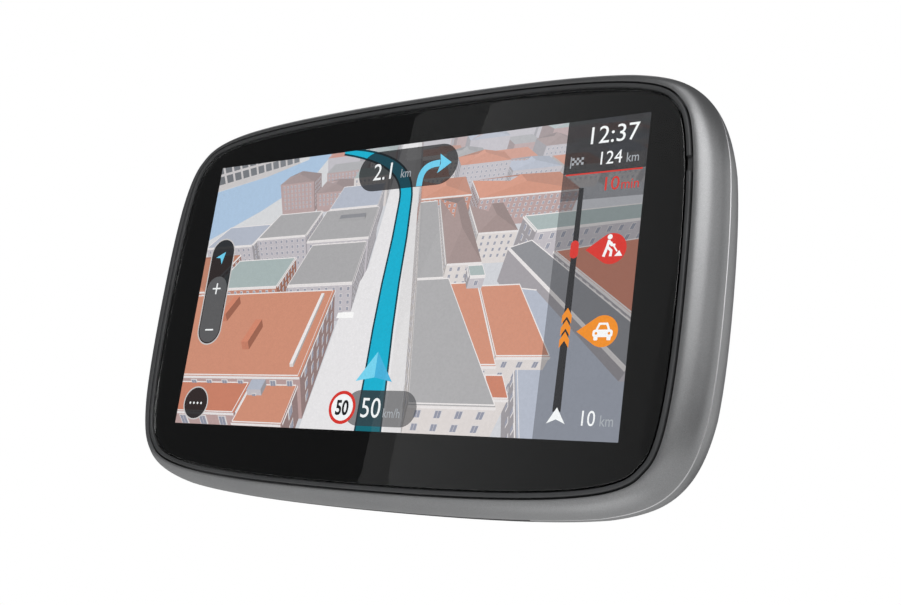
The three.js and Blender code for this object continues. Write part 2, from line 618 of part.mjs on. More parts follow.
// A flat cable that follows a chain of [y, z] points with one thickness.
function ribbon(x, width, chain) {
  const half = FLEX_THICKNESS / 2;
  const side = (sign) => chain.map(([y, z], i) => {
    const [ay, az] = chain[Math.max(i - 1, 0)];
    const [by, bz] = chain[Math.min(i + 1, chain.length - 1)];
    const length = Math.hypot(by - ay, bz - az);
    return new THREE.Vector2(y - (sign * half * (bz - az)) / length, z + (sign * half * (by - ay)) / length);
  });
  const outline = new THREE.Shape([...side(1), ...side(-1).reverse()]);
  const geometry = new THREE.ExtrudeGeometry(outline, { depth: width, bevelEnabled: false });
  geometry.applyMatrix4(new THREE.Matrix4().makeBasis(
    new THREE.Vector3(0, 1, 0), new THREE.Vector3(0, 0, 1), new THREE.Vector3(1, 0, 0),
  ));
  geometry.translate(x - width / 2, 0, 0);
  return solidOf(geometry);
}

// From the display, through the mid frame, up behind it and round the board's lower edge onto its back.
function flexTo(x, width, start) {
  const climb = MID_BACK + FIT_GAP + FLEX_THICKNESS;
  const landing = BOARD_BACK + FIT_GAP + FLEX_THICKNESS / 2;
  return ribbon(x, width, [
    [start, FLEX_Z],
    [climb - 1.2 * FLEX_BEND, FLEX_Z],
    [climb - 0.4 * FLEX_BEND, FLEX_Z + 0.2 * FLEX_BEND],
    [climb, FLEX_Z + FLEX_BEND],
    [climb, BOARD_BOTTOM - 5.2 * FLEX_BEND],
    [climb + 0.8 * FLEX_BEND, BOARD_BOTTOM - 4 * FLEX_BEND],
    [landing - FLEX_BEND, BOARD_BOTTOM - 2.4 * FLEX_BEND],
    [landing, BOARD_BOTTOM - 1.2 * FLEX_BEND],
    [landing, BOARD_BOTTOM + FLEX_LANDING],
  ]);
}

// ---------- the mid frame, the board and the battery ----------

function smallRods(centres, radius, y0, y1) {
  return centres.map(([x, z]) => rod(x, z, radius, y0, y1, SMALL_ROUND_STEPS));
}

// Mid frame: the plate that ties the display, the board and the battery to the front shell.
function midFrame() {
  const plate = prism(offset(INSIDE, -FIT_GAP - BOND_GAP), MID_FRONT, MID_BACK);
  const standoffs = smallRods(BOARD_SCREWS, STANDOFF_RADIUS, MID_BACK - JOIN_DEPTH, BOARD_FRONT - FIT_GAP);
  const towers = smallRods(COVER_SCREWS, TOWER_RADIUS, MID_BACK - JOIN_DEPTH, DOCK_FLOOR_FRONT - FIT_GAP);
  const bores = smallRods([...BOARD_SCREWS, ...COVER_SCREWS, ...POST_CENTRES], SCREW_BORE, 0, TOTAL_DEPTH);
  return without(united([plate, ...standoffs, ...towers]), [...bores, ...flexSlots(BOARD_FRONT)]);
}

function mainBoard() {
  const slab = (x0, x1, z0, z1) => block(x0, x1, BOARD_FRONT, BOARD_BACK, z0, z1);
  const half = BOARD_TAIL_WIDTH / 2;
  const board = united([
    slab(BOARD_LEFT, BLOCK_RIGHT, BOARD_BOTTOM, BOARD_TOP),
    slab(BOARD_LEFT, BOARD_RIGHT, BOARD_TOP - BOARD_STRIP_HEIGHT, BOARD_TOP),
    slab(-half, half, -CASE_HALF_HEIGHT + COVER_INSET + COVER_WALL / 2, BOARD_BOTTOM + JOIN_DEPTH),
  ]);
  return without(board, smallRods(BOARD_SCREWS, SCREW_BORE, 0, TOTAL_DEPTH));
}

// The block of a part on the board, placed by its edges.
function onBoard(part) {
  const x0 = part.left === undefined ? BLOCK_RIGHT - part.right - part.width : BOARD_LEFT + part.left;
  const z0 = part.bottom === undefined ? BOARD_TOP - part.top - part.height : BOARD_BOTTOM + part.bottom;
  return block(x0, x0 + part.width, PART_FRONT, PART_FRONT + part.thickness, z0, z0 + part.height);
}

// A shielding can: a thin box that is open towards the board.
function shieldCan(part) {
  const inside = {
    left: part.left + CAN_WALL,
    top: part.top + CAN_WALL,
    width: part.width - 2 * CAN_WALL,
    height: part.height - 2 * CAN_WALL,
    thickness: part.thickness - CAN_WALL,
  };
  return onBoard(part).subtract(onBoard(inside));
}

// Battery: a pouch with softened edges that stands on its foam pad.
function batteryPack() {
  const back = BATTERY_FRONT + BATTERY_THICKNESS;
  const outline = (inset) => roundedRectangle(
    BATTERY_LEFT + inset, BOARD_RIGHT - inset,
    BATTERY_BOTTOM + inset, BATTERY_BOTTOM + BATTERY_HEIGHT - inset, BATTERY_CORNER - inset,
  );
  return loft([
    { points: outline(BATTERY_EDGE), y: BATTERY_FRONT },
    { points: outline(0), y: BATTERY_FRONT + BATTERY_EDGE },
    { points: outline(0), y: back - BATTERY_EDGE },
    { points: outline(BATTERY_EDGE), y: back },
  ], false, [(BATTERY_LEFT + BOARD_RIGHT) / 2, BATTERY_BOTTOM + BATTERY_HEIGHT / 2]);
}

// ---------- the rear cover, the dock and what sits in them ----------

// The outer shape of the back, solid, moved inward by an inset and backward by a lift.
function rearOutside(inset, lift = 0) {
  const stations = Array.from({ length: SWEEP_STEPS + 1 }, (unused, i) => {
    const turn = (i / SWEEP_STEPS) * (Math.PI / 2);
    return {
      points: mixed(offset(CASE, -inset), offset(BACK, -inset), 1 - Math.cos(turn)),
      y: lift + COVER_FRONT + (REAR_SWEEP_DEPTH - inset) * Math.sin(turn),
    };
  });
  const crown = CROWN_RINGS.map(({ size, rise }) => ({
    points: scaled(offset(BACK, -inset), size),
    y: lift + SWEEP_BACK - inset + BACK_CROWN * rise,
  }));
  return loft([...stations, ...crown]);
}

const OUTSIDE = rearOutside(0);
const dockOutline = (inset) => roundedRectangle(
  -DOCK_WIDTH / 2 + inset, DOCK_WIDTH / 2 - inset,
  -CASE_HALF_HEIGHT * 2, DOCK_TOP - inset, DOCK_CORNER_RADIUS - inset,
);
const grilleOutline = (inset) => roundedRectangle(
  GRILLE_X - GRILLE_HALF_WIDTH + inset, GRILLE_X + GRILLE_HALF_WIDTH - inset,
  GRILLE_Z - GRILLE_HALF_HEIGHT + inset, GRILLE_Z + GRILLE_HALF_HEIGHT - inset, GRILLE_CORNER - inset,
);

// A bar with round ends; its radius stays just under half its width, so that no side vanishes.
function pill(x, z, width, height, grow = 0) {
  const halfX = width / 2 + grow;
  const halfZ = height / 2 + grow;
  const radius = Math.min(halfX, halfZ) - FIT_GAP / 30;
  return roundedRectangle(x - halfX, x + halfX, z - halfZ, z + halfZ, radius);
}

const buttonOutline = (grow) => pill(BUTTON_X, BUTTON_Z, BUTTON_LENGTH, BUTTON_HEIGHT, grow);

// Rear cover: the swept outside, hollowed, with a tongue that slips inside the front shell.
function rearCover() {
  const tongue = prism(
    offset(CASE, -SHELL_WALL - TONGUE_GAP), COVER_FRONT - TONGUE_REACH, COVER_FRONT + COVER_RIM_DEPTH / 2,
  );
  const hollow = rearOutside(COVER_WALL).intersect(prism(CASE, COVER_RIM_BACK - BOND_GAP, FAR));
  const cardSlot = block(
    -CASE_HALF_WIDTH * 2, BOARD_LEFT, CARD_Y - CARD_SLOT_WIDTH / 2, CARD_Y + CARD_SLOT_WIDTH / 2,
    CARD_Z - CARD_SLOT_HEIGHT / 2, CARD_Z + CARD_SLOT_HEIGHT / 2,
  );
  return without(OUTSIDE.add(tongue), [
    prism(INSIDE, 0, COVER_RIM_BACK),
    hollow,
    prism(dockOutline(0), 0, FAR),
    prism(grilleOutline(0), MID_BACK, FAR),
    prism(buttonOutline(FIT_GAP), MID_BACK, FAR),
    cardSlot,
  ]);
}

const contactOutline = (grow) => roundedRectangle(
  -CONTACT_HALF_WIDTH - grow, CONTACT_HALF_WIDTH + grow,
  CONTACT_Z - CONTACT_BLOCK_HALF_HEIGHT - grow, CONTACT_Z + CONTACT_BLOCK_HALF_HEIGHT + grow,
  CONTACT_BLOCK_CORNER + grow,
);

// Dock tub: the recess that a dock slips into, with seats for the cover screws and a window for the contacts.
function dockTub() {
  const halfPocket = DOCK_WIDTH / 2 - DOCK_WALL - FIT_GAP;
  const lowEnd = -CASE_HALF_HEIGHT + COVER_INSET;
  const passageLeft = DISPLAY_FLEX_X - DISPLAY_FLEX_WIDTH / 2 - FLEX_SIDE_GAP;
  const seatFront = DOCK_FLOOR_BACK - DOCK_SCREW_SEAT;
  return without(OUTSIDE.intersect(prism(dockOutline(FIT_GAP), 0, FAR)), [
    prism(INSIDE, 0, COVER_RIM_BACK),
    block(-halfPocket, halfPocket, 0, DOCK_FLOOR_FRONT, lowEnd, DOCK_TOP - DOCK_WALL),
    prism(dockOutline(FIT_GAP + DOCK_WALL), DOCK_FLOOR_BACK, FAR),
    block(
      -USB_WIDTH / 2 - FIT_GAP, USB_WIDTH / 2 + FIT_GAP, USB_FRONT - FIT_GAP, USB_BACK + BOND_GAP,
      -CASE_HALF_HEIGHT * 2, lowEnd + DOCK_WALL,
    ),
    ...smallRods(COVER_SCREWS, SCREW_BORE, 0, FAR),
    ...COVER_SCREWS.map(([x, z]) => rod(x, z, SCREW_HEAD_RADIUS + FIT_GAP, seatFront, FAR)),
    prism(contactOutline(FIT_GAP), 0, FAR),
    block(
      passageLeft, BOARD_TAIL_WIDTH / 2 + FLEX_SIDE_GAP, 0, DOCK_FLOOR_FRONT,
      DOCK_TOP - DOCK_WALL - JOIN_DEPTH, DOCK_TOP + JOIN_DEPTH,
    ),
  ]);
}

const contactX = (i) => (i - (CONTACT_COUNT - 1) / 2) * CONTACT_PITCH;

function contactBlock() {
  const body = prism(contactOutline(0), BOARD_BACK + FIT_GAP, DOCK_FLOOR_BACK - CONTACT_BLOCK_RECESS);
  const wellFront = CONTACT_BACK - CONTACT_LENGTH - FIT_GAP;
  const centres = Array.from({ length: CONTACT_COUNT }, (unused, i) => [contactX(i), CONTACT_Z]);
  return without(body, smallRods(centres, CONTACT_RADIUS + FIT_GAP, wellFront, FAR));
}

function speakerGrille() {
  const plate = OUTSIDE.intersect(prism(grilleOutline(FIT_GAP), GRILLE_FRONT, FAR));
  const slots = Array.from({ length: GRILLE_SLOT_COUNT }, (unused, i) => {
    const x = GRILLE_X + (i - (GRILLE_SLOT_COUNT - 1) / 2) * GRILLE_SLOT_PITCH;
    const height = 2 * (GRILLE_HALF_HEIGHT - GRILLE_MARGIN);
    return prism(pill(x, GRILLE_Z, GRILLE_SLOT_WIDTH, height), MID_BACK, FAR);
  });
  return without(plate, slots);
}

const speakerOval = (inset, y0, y1) => prism(roundedRectangle(
  GRILLE_X - SPEAKER_WIDTH / 2 + inset, GRILLE_X + SPEAKER_WIDTH / 2 - inset,
  GRILLE_Z - SPEAKER_HEIGHT / 2 + inset, GRILLE_Z + SPEAKER_HEIGHT / 2 - inset, SPEAKER_CORNER - inset,
), y0, y1);
const SPEAKER_GASKET_FRONT = SPEAKER_BACK - SPEAKER_GASKET_THICKNESS;

function speakerBasket() {
  const cup = speakerOval(BASKET_INSET, SPEAKER_FRONT, SPEAKER_GASKET_FRONT - FIT_GAP);
  return cup.subtract(speakerOval(BASKET_INSET + BASKET_WALL, SPEAKER_FRONT + BASKET_WALL, FAR));
}

function speakerGasket() {
  const pad = speakerOval(BASKET_INSET, SPEAKER_GASKET_FRONT, SPEAKER_BACK);
  return pad.subtract(speakerOval(BASKET_INSET + BASKET_WALL, 0, FAR));
}

// The key is cut from the back's own outer shape, so its face follows it and stands just proud.
function powerButton() {
  const face = rearOutside(0, BUTTON_PROUD).intersect(prism(buttonOutline(0), BUTTON_FLANGE_FRONT, FAR));
  const flangeBack = BUTTON_FLANGE_FRONT + BUTTON_FLANGE_THICKNESS;
  const flange = prism(buttonOutline(BUTTON_FLANGE), BUTTON_FLANGE_FRONT, flangeBack);
  const [stem] = smallRods([[BUTTON_X, BUTTON_Z]], BUTTON_STEM_RADIUS, STEM_FRONT, flangeBack - JOIN_DEPTH);
  return united([face, flange, stem]);
}

function powerSwitch() {
  const half = SWITCH_SIZE / 2;
  const body = block(
    BUTTON_X - half, BUTTON_X + half, PART_FRONT, SWITCH_BACK, BUTTON_Z - half, BUTTON_Z + half,
  );
  const well = PLUNGER_RADIUS + FIT_GAP / 2;
  return without(body, smallRods([[BUTTON_X, BUTTON_Z]], well, SWITCH_BACK - PLUNGER_WELL, FAR));
}

function usbShell() {
  const halfInside = USB_WIDTH / 2 - USB_SHELL_WALL;
  const shell = block(-USB_WIDTH / 2, USB_WIDTH / 2, USB_FRONT, USB_BACK, USB_MOUTH, USB_MOUTH + USB_LENGTH);
  return shell.subtract(block(
    -halfInside, halfInside, USB_FRONT + USB_SHELL_WALL, USB_BACK - USB_SHELL_WALL,
    -CASE_HALF_HEIGHT, USB_MOUTH + USB_LENGTH - USB_SHELL_WALL,
  ));
}

function usbTongue() {
  const front = (USB_FRONT + USB_BACK - USB_TONGUE_THICKNESS) / 2;
  return block(
    -USB_TONGUE_WIDTH / 2, USB_TONGUE_WIDTH / 2, front, front + USB_TONGUE_THICKNESS,
    USB_MOUTH + USB_TONGUE_INSET, USB_MOUTH + USB_LENGTH - USB_SHELL_WALL - FIT_GAP,
  );
}

// ---------- every piece in its place ----------

place('front_shell', frontShell(), SILVER_PAINT);
place('bezel_ring', bezelRing(), RING_PLASTIC);
place('cover_glass', coverGlass(), BLACK_GLASS);
place('glass_gasket', glassGasket(), FOAM);
place('touch_sensor', panelLayer(TOUCH_FRONT, TOUCH_THICKNESS), CLEAR_FILM);
place('lcd_panel', panelLayer(PANEL_FRONT, PANEL_THICKNESS), PANEL_GLASS);
place('backlight', panelLayer(BACKLIGHT_FRONT, BACKLIGHT_THICKNESS), WHITE_PLASTIC);
place('display_tray', displayTray(), STEEL);
place('display_flex', flexTo(DISPLAY_FLEX_X, DISPLAY_FLEX_WIDTH, BACKLIGHT_FRONT), COPPER_FILM);
place('touch_flex', flexTo(TOUCH_FLEX_X, TOUCH_FLEX_WIDTH, TOUCH_FRONT), COPPER_FILM);
place('microphone', rod(MIC_X, MIC_HEIGHT, MIC_RADIUS, MIC_FRONT, MIC_FRONT + MIC_THICKNESS), CHIP_BLACK);

place('mid_frame', midFrame(), GREY_PLASTIC);
POST_CENTRES.forEach(([x, z], i) => {
  const tip = FLANGE_BACK + FIT_GAP + SCREW_END_GAP;
  place(`frame_screw_${i + 1}`, screw(x, z, tip, MID_BACK + FIT_GAP), STEEL);
});
place('main_board', mainBoard(), BOARD_GREEN);
BOARD_SCREWS.forEach(([x, z], i) => {
  place(`board_screw_${i + 1}`, screw(x, z, MID_FRONT + FIT_GAP, BOARD_BACK + FIT_GAP), STEEL);
});
place('processor', onBoard(PROCESSOR), CHIP_BLACK);
place('processor_can', shieldCan(PROCESSOR_CAN), STEEL);
place('gps_antenna', onBoard(GPS_ANTENNA), CERAMIC);
place('radio_can', shieldCan(RADIO_CAN), STEEL);
place('display_connector', onBoard({
  ...DISPLAY_CONNECTOR,
  left: DISPLAY_FLEX_X - DISPLAY_CONNECTOR.width / 2 - BOARD_LEFT,
}), BLACK_PLASTIC);
place('card_socket', onBoard(CARD_SOCKET), STEEL);
place('memory_chip', onBoard(MEMORY_CHIP), CHIP_BLACK);
place('power_chip', onBoard(POWER_CHIP), CHIP_BLACK);
place('battery_connector', onBoard(BATTERY_CONNECTOR), WHITE_PLASTIC);
place('bluetooth_antenna', onBoard({
  ...BLUETOOTH_ANTENNA,
  left: BUTTON_X - BLUETOOTH_ANTENNA.fromButton - BLUETOOTH_ANTENNA.width - BOARD_LEFT,
}), CERAMIC);
place('battery_pad', block(
  BATTERY_LEFT + PAD_MARGIN, BOARD_RIGHT - PAD_MARGIN, PAD_FRONT, PAD_FRONT + PAD_THICKNESS,
  BATTERY_BOTTOM + PAD_MARGIN, BATTERY_BOTTOM + BATTERY_HEIGHT - PAD_MARGIN,
), FOAM);
place('battery_pack', batteryPack(), BATTERY_WRAP);

place('rear_cover', rearCover(), SILVER_PAINT);
place('dock_tub', dockTub(), BLACK_PLASTIC);
[-1, 1].forEach((side, i) => {
  const x = (side * MAGNET_SPACING) / 2;
  const z = CONTACT_Z - MAGNET_BELOW_CONTACTS;
  const magnet = rod(x, z, MAGNET_RADIUS, MAGNET_BACK - MAGNET_THICKNESS, MAGNET_BACK);
  place(`dock_magnet_${i + 1}`, magnet, STEEL);
});
COVER_SCREWS.forEach(([x, z], i) => {
  const tip = MID_BACK + FIT_GAP + SCREW_END_GAP;
  place(`cover_screw_${i + 1}`, screw(x, z, tip, DOCK_FLOOR_BACK - DOCK_SCREW_SEAT + FIT_GAP), STEEL);
});
place('contact_block', contactBlock(), GREY_PLASTIC);
for (let i = 0; i < CONTACT_COUNT; i += 1) {
  const centre = [contactX(i), CONTACT_Z];
  const [pad] = smallRods([centre], CONTACT_RADIUS, CONTACT_BACK - CONTACT_LENGTH, CONTACT_BACK);
  place(`contact_pad_${i + 1}`, pad, GOLD_PLATE);
}
place('usb_socket', usbShell(), STEEL);
place('usb_tongue', usbTongue(), BLACK_PLASTIC);

place('speaker_grille', speakerGrille(), BLACK_PLASTIC);
place('speaker_basket', speakerBasket(), BLACK_PLASTIC);
place('speaker_cone', speakerOval(CONE_INSET, CONE_FRONT, CONE_FRONT + CONE_THICKNESS), FOAM);
place('speaker_gasket', speakerGasket(), FOAM);

place('power_button', powerButton(), BLACK_PLASTIC);
place('power_switch', powerSwitch(), STEEL);
const [plunger] = smallRods([[BUTTON_X, BUTTON_Z]], PLUNGER_RADIUS, PLUNGER_FRONT, PLUNGER_BACK);
place('switch_plunger', plunger, WHITE_PLASTIC);

export default device;
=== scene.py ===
"""Portable satellite navigator: fine shells, glass, a lit map display and the finish of every part.

Shapes are worked out in millimetres, with depth 0 on the crown of the bezel ring and growing towards the
back. The outlines follow the same formulas as the CAD model, with many more points and eased corners.
"""

import json
import math
import random

import bmesh
import bpy
from mathutils import Matrix, Vector


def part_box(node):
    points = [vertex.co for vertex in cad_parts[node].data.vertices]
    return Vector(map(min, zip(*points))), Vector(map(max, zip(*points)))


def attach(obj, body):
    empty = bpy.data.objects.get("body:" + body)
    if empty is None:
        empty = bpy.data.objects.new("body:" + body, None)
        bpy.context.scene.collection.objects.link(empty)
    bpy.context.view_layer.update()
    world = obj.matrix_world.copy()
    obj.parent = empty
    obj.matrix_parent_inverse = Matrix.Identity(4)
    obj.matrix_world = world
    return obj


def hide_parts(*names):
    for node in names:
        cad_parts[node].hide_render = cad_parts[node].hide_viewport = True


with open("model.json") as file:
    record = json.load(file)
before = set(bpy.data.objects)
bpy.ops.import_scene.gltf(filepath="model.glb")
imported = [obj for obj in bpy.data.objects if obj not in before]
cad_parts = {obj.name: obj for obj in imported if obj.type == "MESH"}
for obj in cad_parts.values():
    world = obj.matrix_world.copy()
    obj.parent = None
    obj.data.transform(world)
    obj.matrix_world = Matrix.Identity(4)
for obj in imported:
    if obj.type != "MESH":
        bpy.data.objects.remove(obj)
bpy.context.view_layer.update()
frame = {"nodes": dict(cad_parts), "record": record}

MM = 0.001


# ---------- sizes read from the frame, in millimetres ----------

def node_box(node):
    low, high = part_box(node)
    return low / MM, high / MM


CROWN_Y = node_box("bezel_ring")[0].y


def depth_range(node):
    low, high = node_box(node)
    return low.y - CROWN_Y, high.y - CROWN_Y


RING_GROOVE = 0.36
PANEL_BORDER_SIDE = 2.2
PANEL_BORDER_TOP = 1.6
PANEL_BORDER_BOTTOM = 4.5
PARTING_GAP = 0.15
BACK_CROWN = 0.7

CASE_HALF = node_box("front_shell")[1]
RIM_HALF = node_box("bezel_ring")[1] + Vector((RING_GROOVE / 2, 0, RING_GROOVE / 2))
PANEL_LOW, PANEL_HIGH = node_box("lcd_panel")
DISPLAY_WIDTH = PANEL_HIGH.x - PANEL_LOW.x - 2 * PANEL_BORDER_SIDE
DISPLAY_HEIGHT = PANEL_HIGH.z - PANEL_LOW.z - PANEL_BORDER_TOP - PANEL_BORDER_BOTTOM
DISPLAY_Z = PANEL_HIGH.z - PANEL_BORDER_TOP - DISPLAY_HEIGHT / 2

FRONT_DEPTH = depth_range("front_shell")[1]
COVER_FRONT = FRONT_DEPTH + PARTING_GAP
TOTAL_DEPTH = depth_range("rear_cover")[1]
SWEEP_DEPTH = TOTAL_DEPTH - BACK_CROWN - COVER_FRONT
GLASS_FRONT, GLASS_BACK = depth_range("cover_glass")
RING_BACK = depth_range("bezel_ring")[1]

# Corner shapes of the three outlines.
RIM_CORNER = dict(in_x=4.8, in_z=6.55, slope=0.89, reach_x=15.8, reach_z=9.8, pull_x=4.6, pull_z=3.2)
CASE_CORNER = dict(in_x=6.5, in_z=7.5, slope=0.93, reach_x=16.6, reach_z=10.0, pull_x=5.2, pull_z=4.0)
BACK_CORNER = dict(in_x=7.4, in_z=8.8, slope=0.9, reach_x=19.0, reach_z=13.0, pull_x=5.6, pull_z=4.6)
BACK_INSET_SIDE = 7.0
BACK_INSET_TOP = 3.7

# Shell and glass details.
RING_WIDTH = 0.87
RING_ROUND = 0.3
GLASS_GROOVE = 0.3
GLASS_BEVEL = 0.25
LIP_HEIGHT = 0.3
LIP_LAND = 0.2
SHELL_WALL = 1.5
FLANGE_FRONT = 2.45
FLANGE_BACK = 3.75
FLANGE_REACH = 6.0
COVER_WALL = 2.0
COVER_RIM_DEPTH = 2.2
TONGUE_GAP = 0.35
TONGUE_THICKNESS = 1.05
TONGUE_REACH = 1.35
EDGE_ROUND = 0.26
FIT_GAP = 0.3
FLANGE_FILLET = ((0.0, 0.65), (0.5, 0.2), (1.3, 0.0))
# Depth spans before and after the parting line over which the case paint is lightened: a painted highlight.
PARTING_HIGHLIGHT_FRONT = (0.42, 0.2)
PARTING_HIGHLIGHT_BACK = (0.1, 0.3)
PRINT_INSET = 0.1
PRINT_FRONT = 0.01
PRINT_BACK = 0.04
CROWN_SHARES = (0.97, 0.92, 0.85, 0.75, 0.62, 0.47, 0.3, 0.12)
MIC_HEIGHT = 21.4
MIC_NOTCH_HEIGHT = 3.0
MIC_NOTCH_DEPTH = 1.0
MIC_NOTCH_REACH = 4.0

# Openings in the back and what fills them.
DOCK_CORNER = 7.0
DOCK_WALL = 1.6
DOCK_FLOOR = 1.8
DOCK_LEDGE = 2.9
DOCK_TOP_NOTCH = (-27.5, 12)
CONTACT_CORNER = 1.5
SCREW_HEAD = 1.0
SCREW_HOLE_RADIUS = 1.1
CARD_SLOT_AHEAD = 0.7
CARD_SLOT_GAP = 0.6
CARD_SLOT_HALF_THICKNESS = 0.75
CARD_SLOT_HALF_HEIGHT = 6
GRILLE_CORNER = 4.0
GRILLE_SLOTS = 9
GRILLE_PITCH = 2.8
GRILLE_SLOT_WIDTH = 1.2
GRILLE_MARGIN = 2.5
GRILLE_EDGE = 0.12
BUTTON_FLANGE = 1.0
BUTTON_FLANGE_THICKNESS = 0.8
BUTTON_FLANGE_FRONT_GAP = 2.2
BUTTON_PROUD = 0.35
BUTTON_EDGE = 0.3
STEM_RADIUS = 1.3
STEM_SINK = 0.4

# How far cutters reach past what they cut, and the straight bit left between two round ends.
OVERCUT = 2
HAIR = 0.01

# Easing of the corner bends, and steps along the curves.
EASE_REACH = 14.0
CASE_EASE_ROUNDS = 60
BACK_EASE_ROUNDS = 90

LONG_STEPS = 30
SHORT_STEPS = 22
SWEEP_STEPS = 26
ROUND_STEPS = 5
SMOOTH_ANGLE = math.radians(32)
BEVEL_ANGLE = math.radians(40)


# ---------- outlines ----------

def spots(*pairs):
    return [Vector(pair) for pair in pairs]


def bezier(p0, p1, p2, p3, steps):
    points = []
    for i in range(steps + 1):
        t = i / steps
        s = 1 - t
        points.append(p0 * s ** 3 + p1 * (3 * s * s * t) + p2 * (3 * s * t * t) + p3 * t ** 3)
    return points


def soft_rectangle(half_width, half_height, corner):
    """A rectangle with bowed sides: two curves a quarter, which meet at the corner point."""
    middle = Vector((half_width - corner["in_x"], half_height - corner["in_z"]))
    slope = Vector((math.cos(corner["slope"]), -math.sin(corner["slope"])))
    top = bezier(
        Vector((0, half_height)), Vector((half_width - corner["reach_x"], half_height)),
        middle - slope * corner["pull_x"], middle, LONG_STEPS,
    )
    side = bezier(
        middle, middle + slope * corner["pull_z"],
        Vector((half_width, half_height - corner["reach_z"])), Vector((half_width, 0)), SHORT_STEPS,
    )
    quarter = top[:-1] + side
    half = quarter + [Vector((p.x, -p.y)) for p in reversed(quarter[:-1])]
    return half + [Vector((-p.x, p.y)) for p in reversed(half[1:-1])]


def offset(points, distance):
    count = len(points)
    moved = []
    for i, point in enumerate(points):
        along = (points[(i + 1) % count] - points[i - 1]).normalized()
        moved.append(point + Vector((-along.y, along.x)) * distance)
    return moved


def relaxed(points, corner_x, corner_z, rounds):
    """The outline with the bend at each corner point eased."""
    count = len(points)
    for _ in range(rounds):
        eased_points = []
        for i, point in enumerate(points):
            away = (Vector((abs(point.x), abs(point.y))) - Vector((corner_x, corner_z))).length
            share = 0.5 * max(0.0, 1 - away / EASE_REACH)
            eased_points.append(point.lerp((points[i - 1] + points[(i + 1) % count]) / 2, share))
        points = eased_points
    return points


def soft_outline(half_width, half_height, corner, rounds):
    outline = soft_rectangle(half_width, half_height, corner)
    return relaxed(outline, half_width - corner["in_x"], half_height - corner["in_z"], rounds)


def mixed(start, end, share):
    return [a.lerp(b, share) for a, b in zip(start, end)]


def rounded_rectangle(x0, x1, z0, z1, radius, steps=10):
    centres = [(x1 - radius, z1 - radius), (x0 + radius, z1 - radius),
               (x0 + radius, z0 + radius), (x1 - radius, z0 + radius)]
    points = []
    for turn, (cx, cz) in enumerate(centres):
        for i in range(steps + 1):
            angle = (turn + i / steps) * math.pi / 2
            points.append(Vector((cx + radius * math.cos(angle), cz + radius * math.sin(angle))))
    return points


def circle(cx, cz, radius, steps=40):
    return [Vector((cx + radius * math.cos(2 * math.pi * i / steps),
                    cz + radius * math.sin(2 * math.pi * i / steps))) for i in range(steps)]


RIM = soft_rectangle(RIM_HALF.x, RIM_HALF.z, RIM_CORNER)
CASE = soft_outline(CASE_HALF.x, CASE_HALF.z, CASE_CORNER, CASE_EASE_ROUNDS)
BACK = soft_outline(
    CASE_HALF.x - BACK_INSET_SIDE, CASE_HALF.z - BACK_INSET_TOP, BACK_CORNER, BACK_EASE_ROUNDS,
)
RING_OUTER = offset(RIM, -RING_GROOVE / 2)
RING_INNER = offset(RING_OUTER, -RING_WIDTH)
GLASS = offset(RING_INNER, -GLASS_GROOVE)


# ---------- meshes ----------

def place(x, depth, z):
    return Vector((x, depth + CROWN_Y, z)) * MM


def finished(name, mesh, material, body="housing"):
    """Shades the mesh smooth up to its sharp edges, gives it its material and sets it on its body."""
    shell = bmesh.new()
    shell.from_mesh(mesh)
    for face in shell.faces:
        face.smooth = True
    for edge in shell.edges:
        edge.smooth = len(edge.link_faces) == 2 and edge.calc_face_angle(0) < SMOOTH_ANGLE
    shell.to_mesh(mesh)
    shell.free()
    mesh.materials.clear()
    mesh.materials.append(material)
    piece = bpy.data.objects.new(name, mesh)
    bpy.context.scene.collection.objects.link(piece)
    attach(piece, body)
    return piece


def skin(rings, looped=False):
    """A closed surface through a chain of (outline, depth) rings that have equal counts."""
    shell = bmesh.new()
    rows = [[shell.verts.new(place(p.x, depth, p.y)) for p in points] for points, depth in rings]
    count = len(rows[0])
    pairs = list(zip(rows, rows[1:]))
    if looped:
        pairs.append((rows[-1], rows[0]))
    for a, b in pairs:
        for i in range(count):
            j = (i + 1) % count
            shell.faces.new((a[i], a[j], b[j], b[i]))
    if not looped:
        shell.faces.new(rows[0])
        shell.faces.new(list(reversed(rows[-1])))
    return sealed(shell)


def sealed(shell):
    bmesh.ops.recalc_face_normals(shell, faces=shell.faces)
    mesh = bpy.data.meshes.new("shape")
    shell.to_mesh(mesh)
    shell.free()
    return mesh


def prism(points, depth0, depth1):
    return skin([(points, depth0), (points, depth1)])


def block(x0, x1, depth0, depth1, z0, z1):
    corners = [Vector((x0, z0)), Vector((x1, z0)), Vector((x1, z1)), Vector((x0, z1))]
    return prism(corners, depth0, depth1)


def carved(mesh, tools, operation="DIFFERENCE"):
    """The mesh cut by, joined to or kept inside each tool mesh."""
    target = bpy.data.objects.new("target", mesh)
    bpy.context.scene.collection.objects.link(target)
    helpers = []
    for tool in tools:
        helper = bpy.data.objects.new("tool", tool)
        bpy.context.scene.collection.objects.link(helper)
        helpers.append(helper)
        cut = target.modifiers.new("cut", "BOOLEAN")
        cut.operation = operation
        cut.solver = "EXACT"
        cut.object = helper
    result = baked(target)
    for item in [target, *helpers]:
        bpy.data.objects.remove(item)
    return result


def baked(item):
    bpy.context.view_layer.update()
    view = bpy.context.evaluated_depsgraph_get()
    return bpy.data.meshes.new_from_object(item.evaluated_get(view))


def eased(mesh, width, segments=3):
    """The mesh with its sharp edges rounded by that many millimetres."""
    item = bpy.data.objects.new("eased", mesh)
    bpy.context.scene.collection.objects.link(item)
    bevel = item.modifiers.new("bevel", "BEVEL")
    bevel.width = width * MM
    bevel.segments = segments
    bevel.limit_method = "ANGLE"
    bevel.angle_limit = BEVEL_ANGLE
    result = baked(item)
    bpy.data.objects.remove(item)
    return result


def joined(meshes):
    shell = bmesh.new()
    for mesh in meshes:
        shell.from_mesh(mesh)
    whole = bpy.data.meshes.new("shape")
    shell.to_mesh(whole)
    shell.free()
    return whole


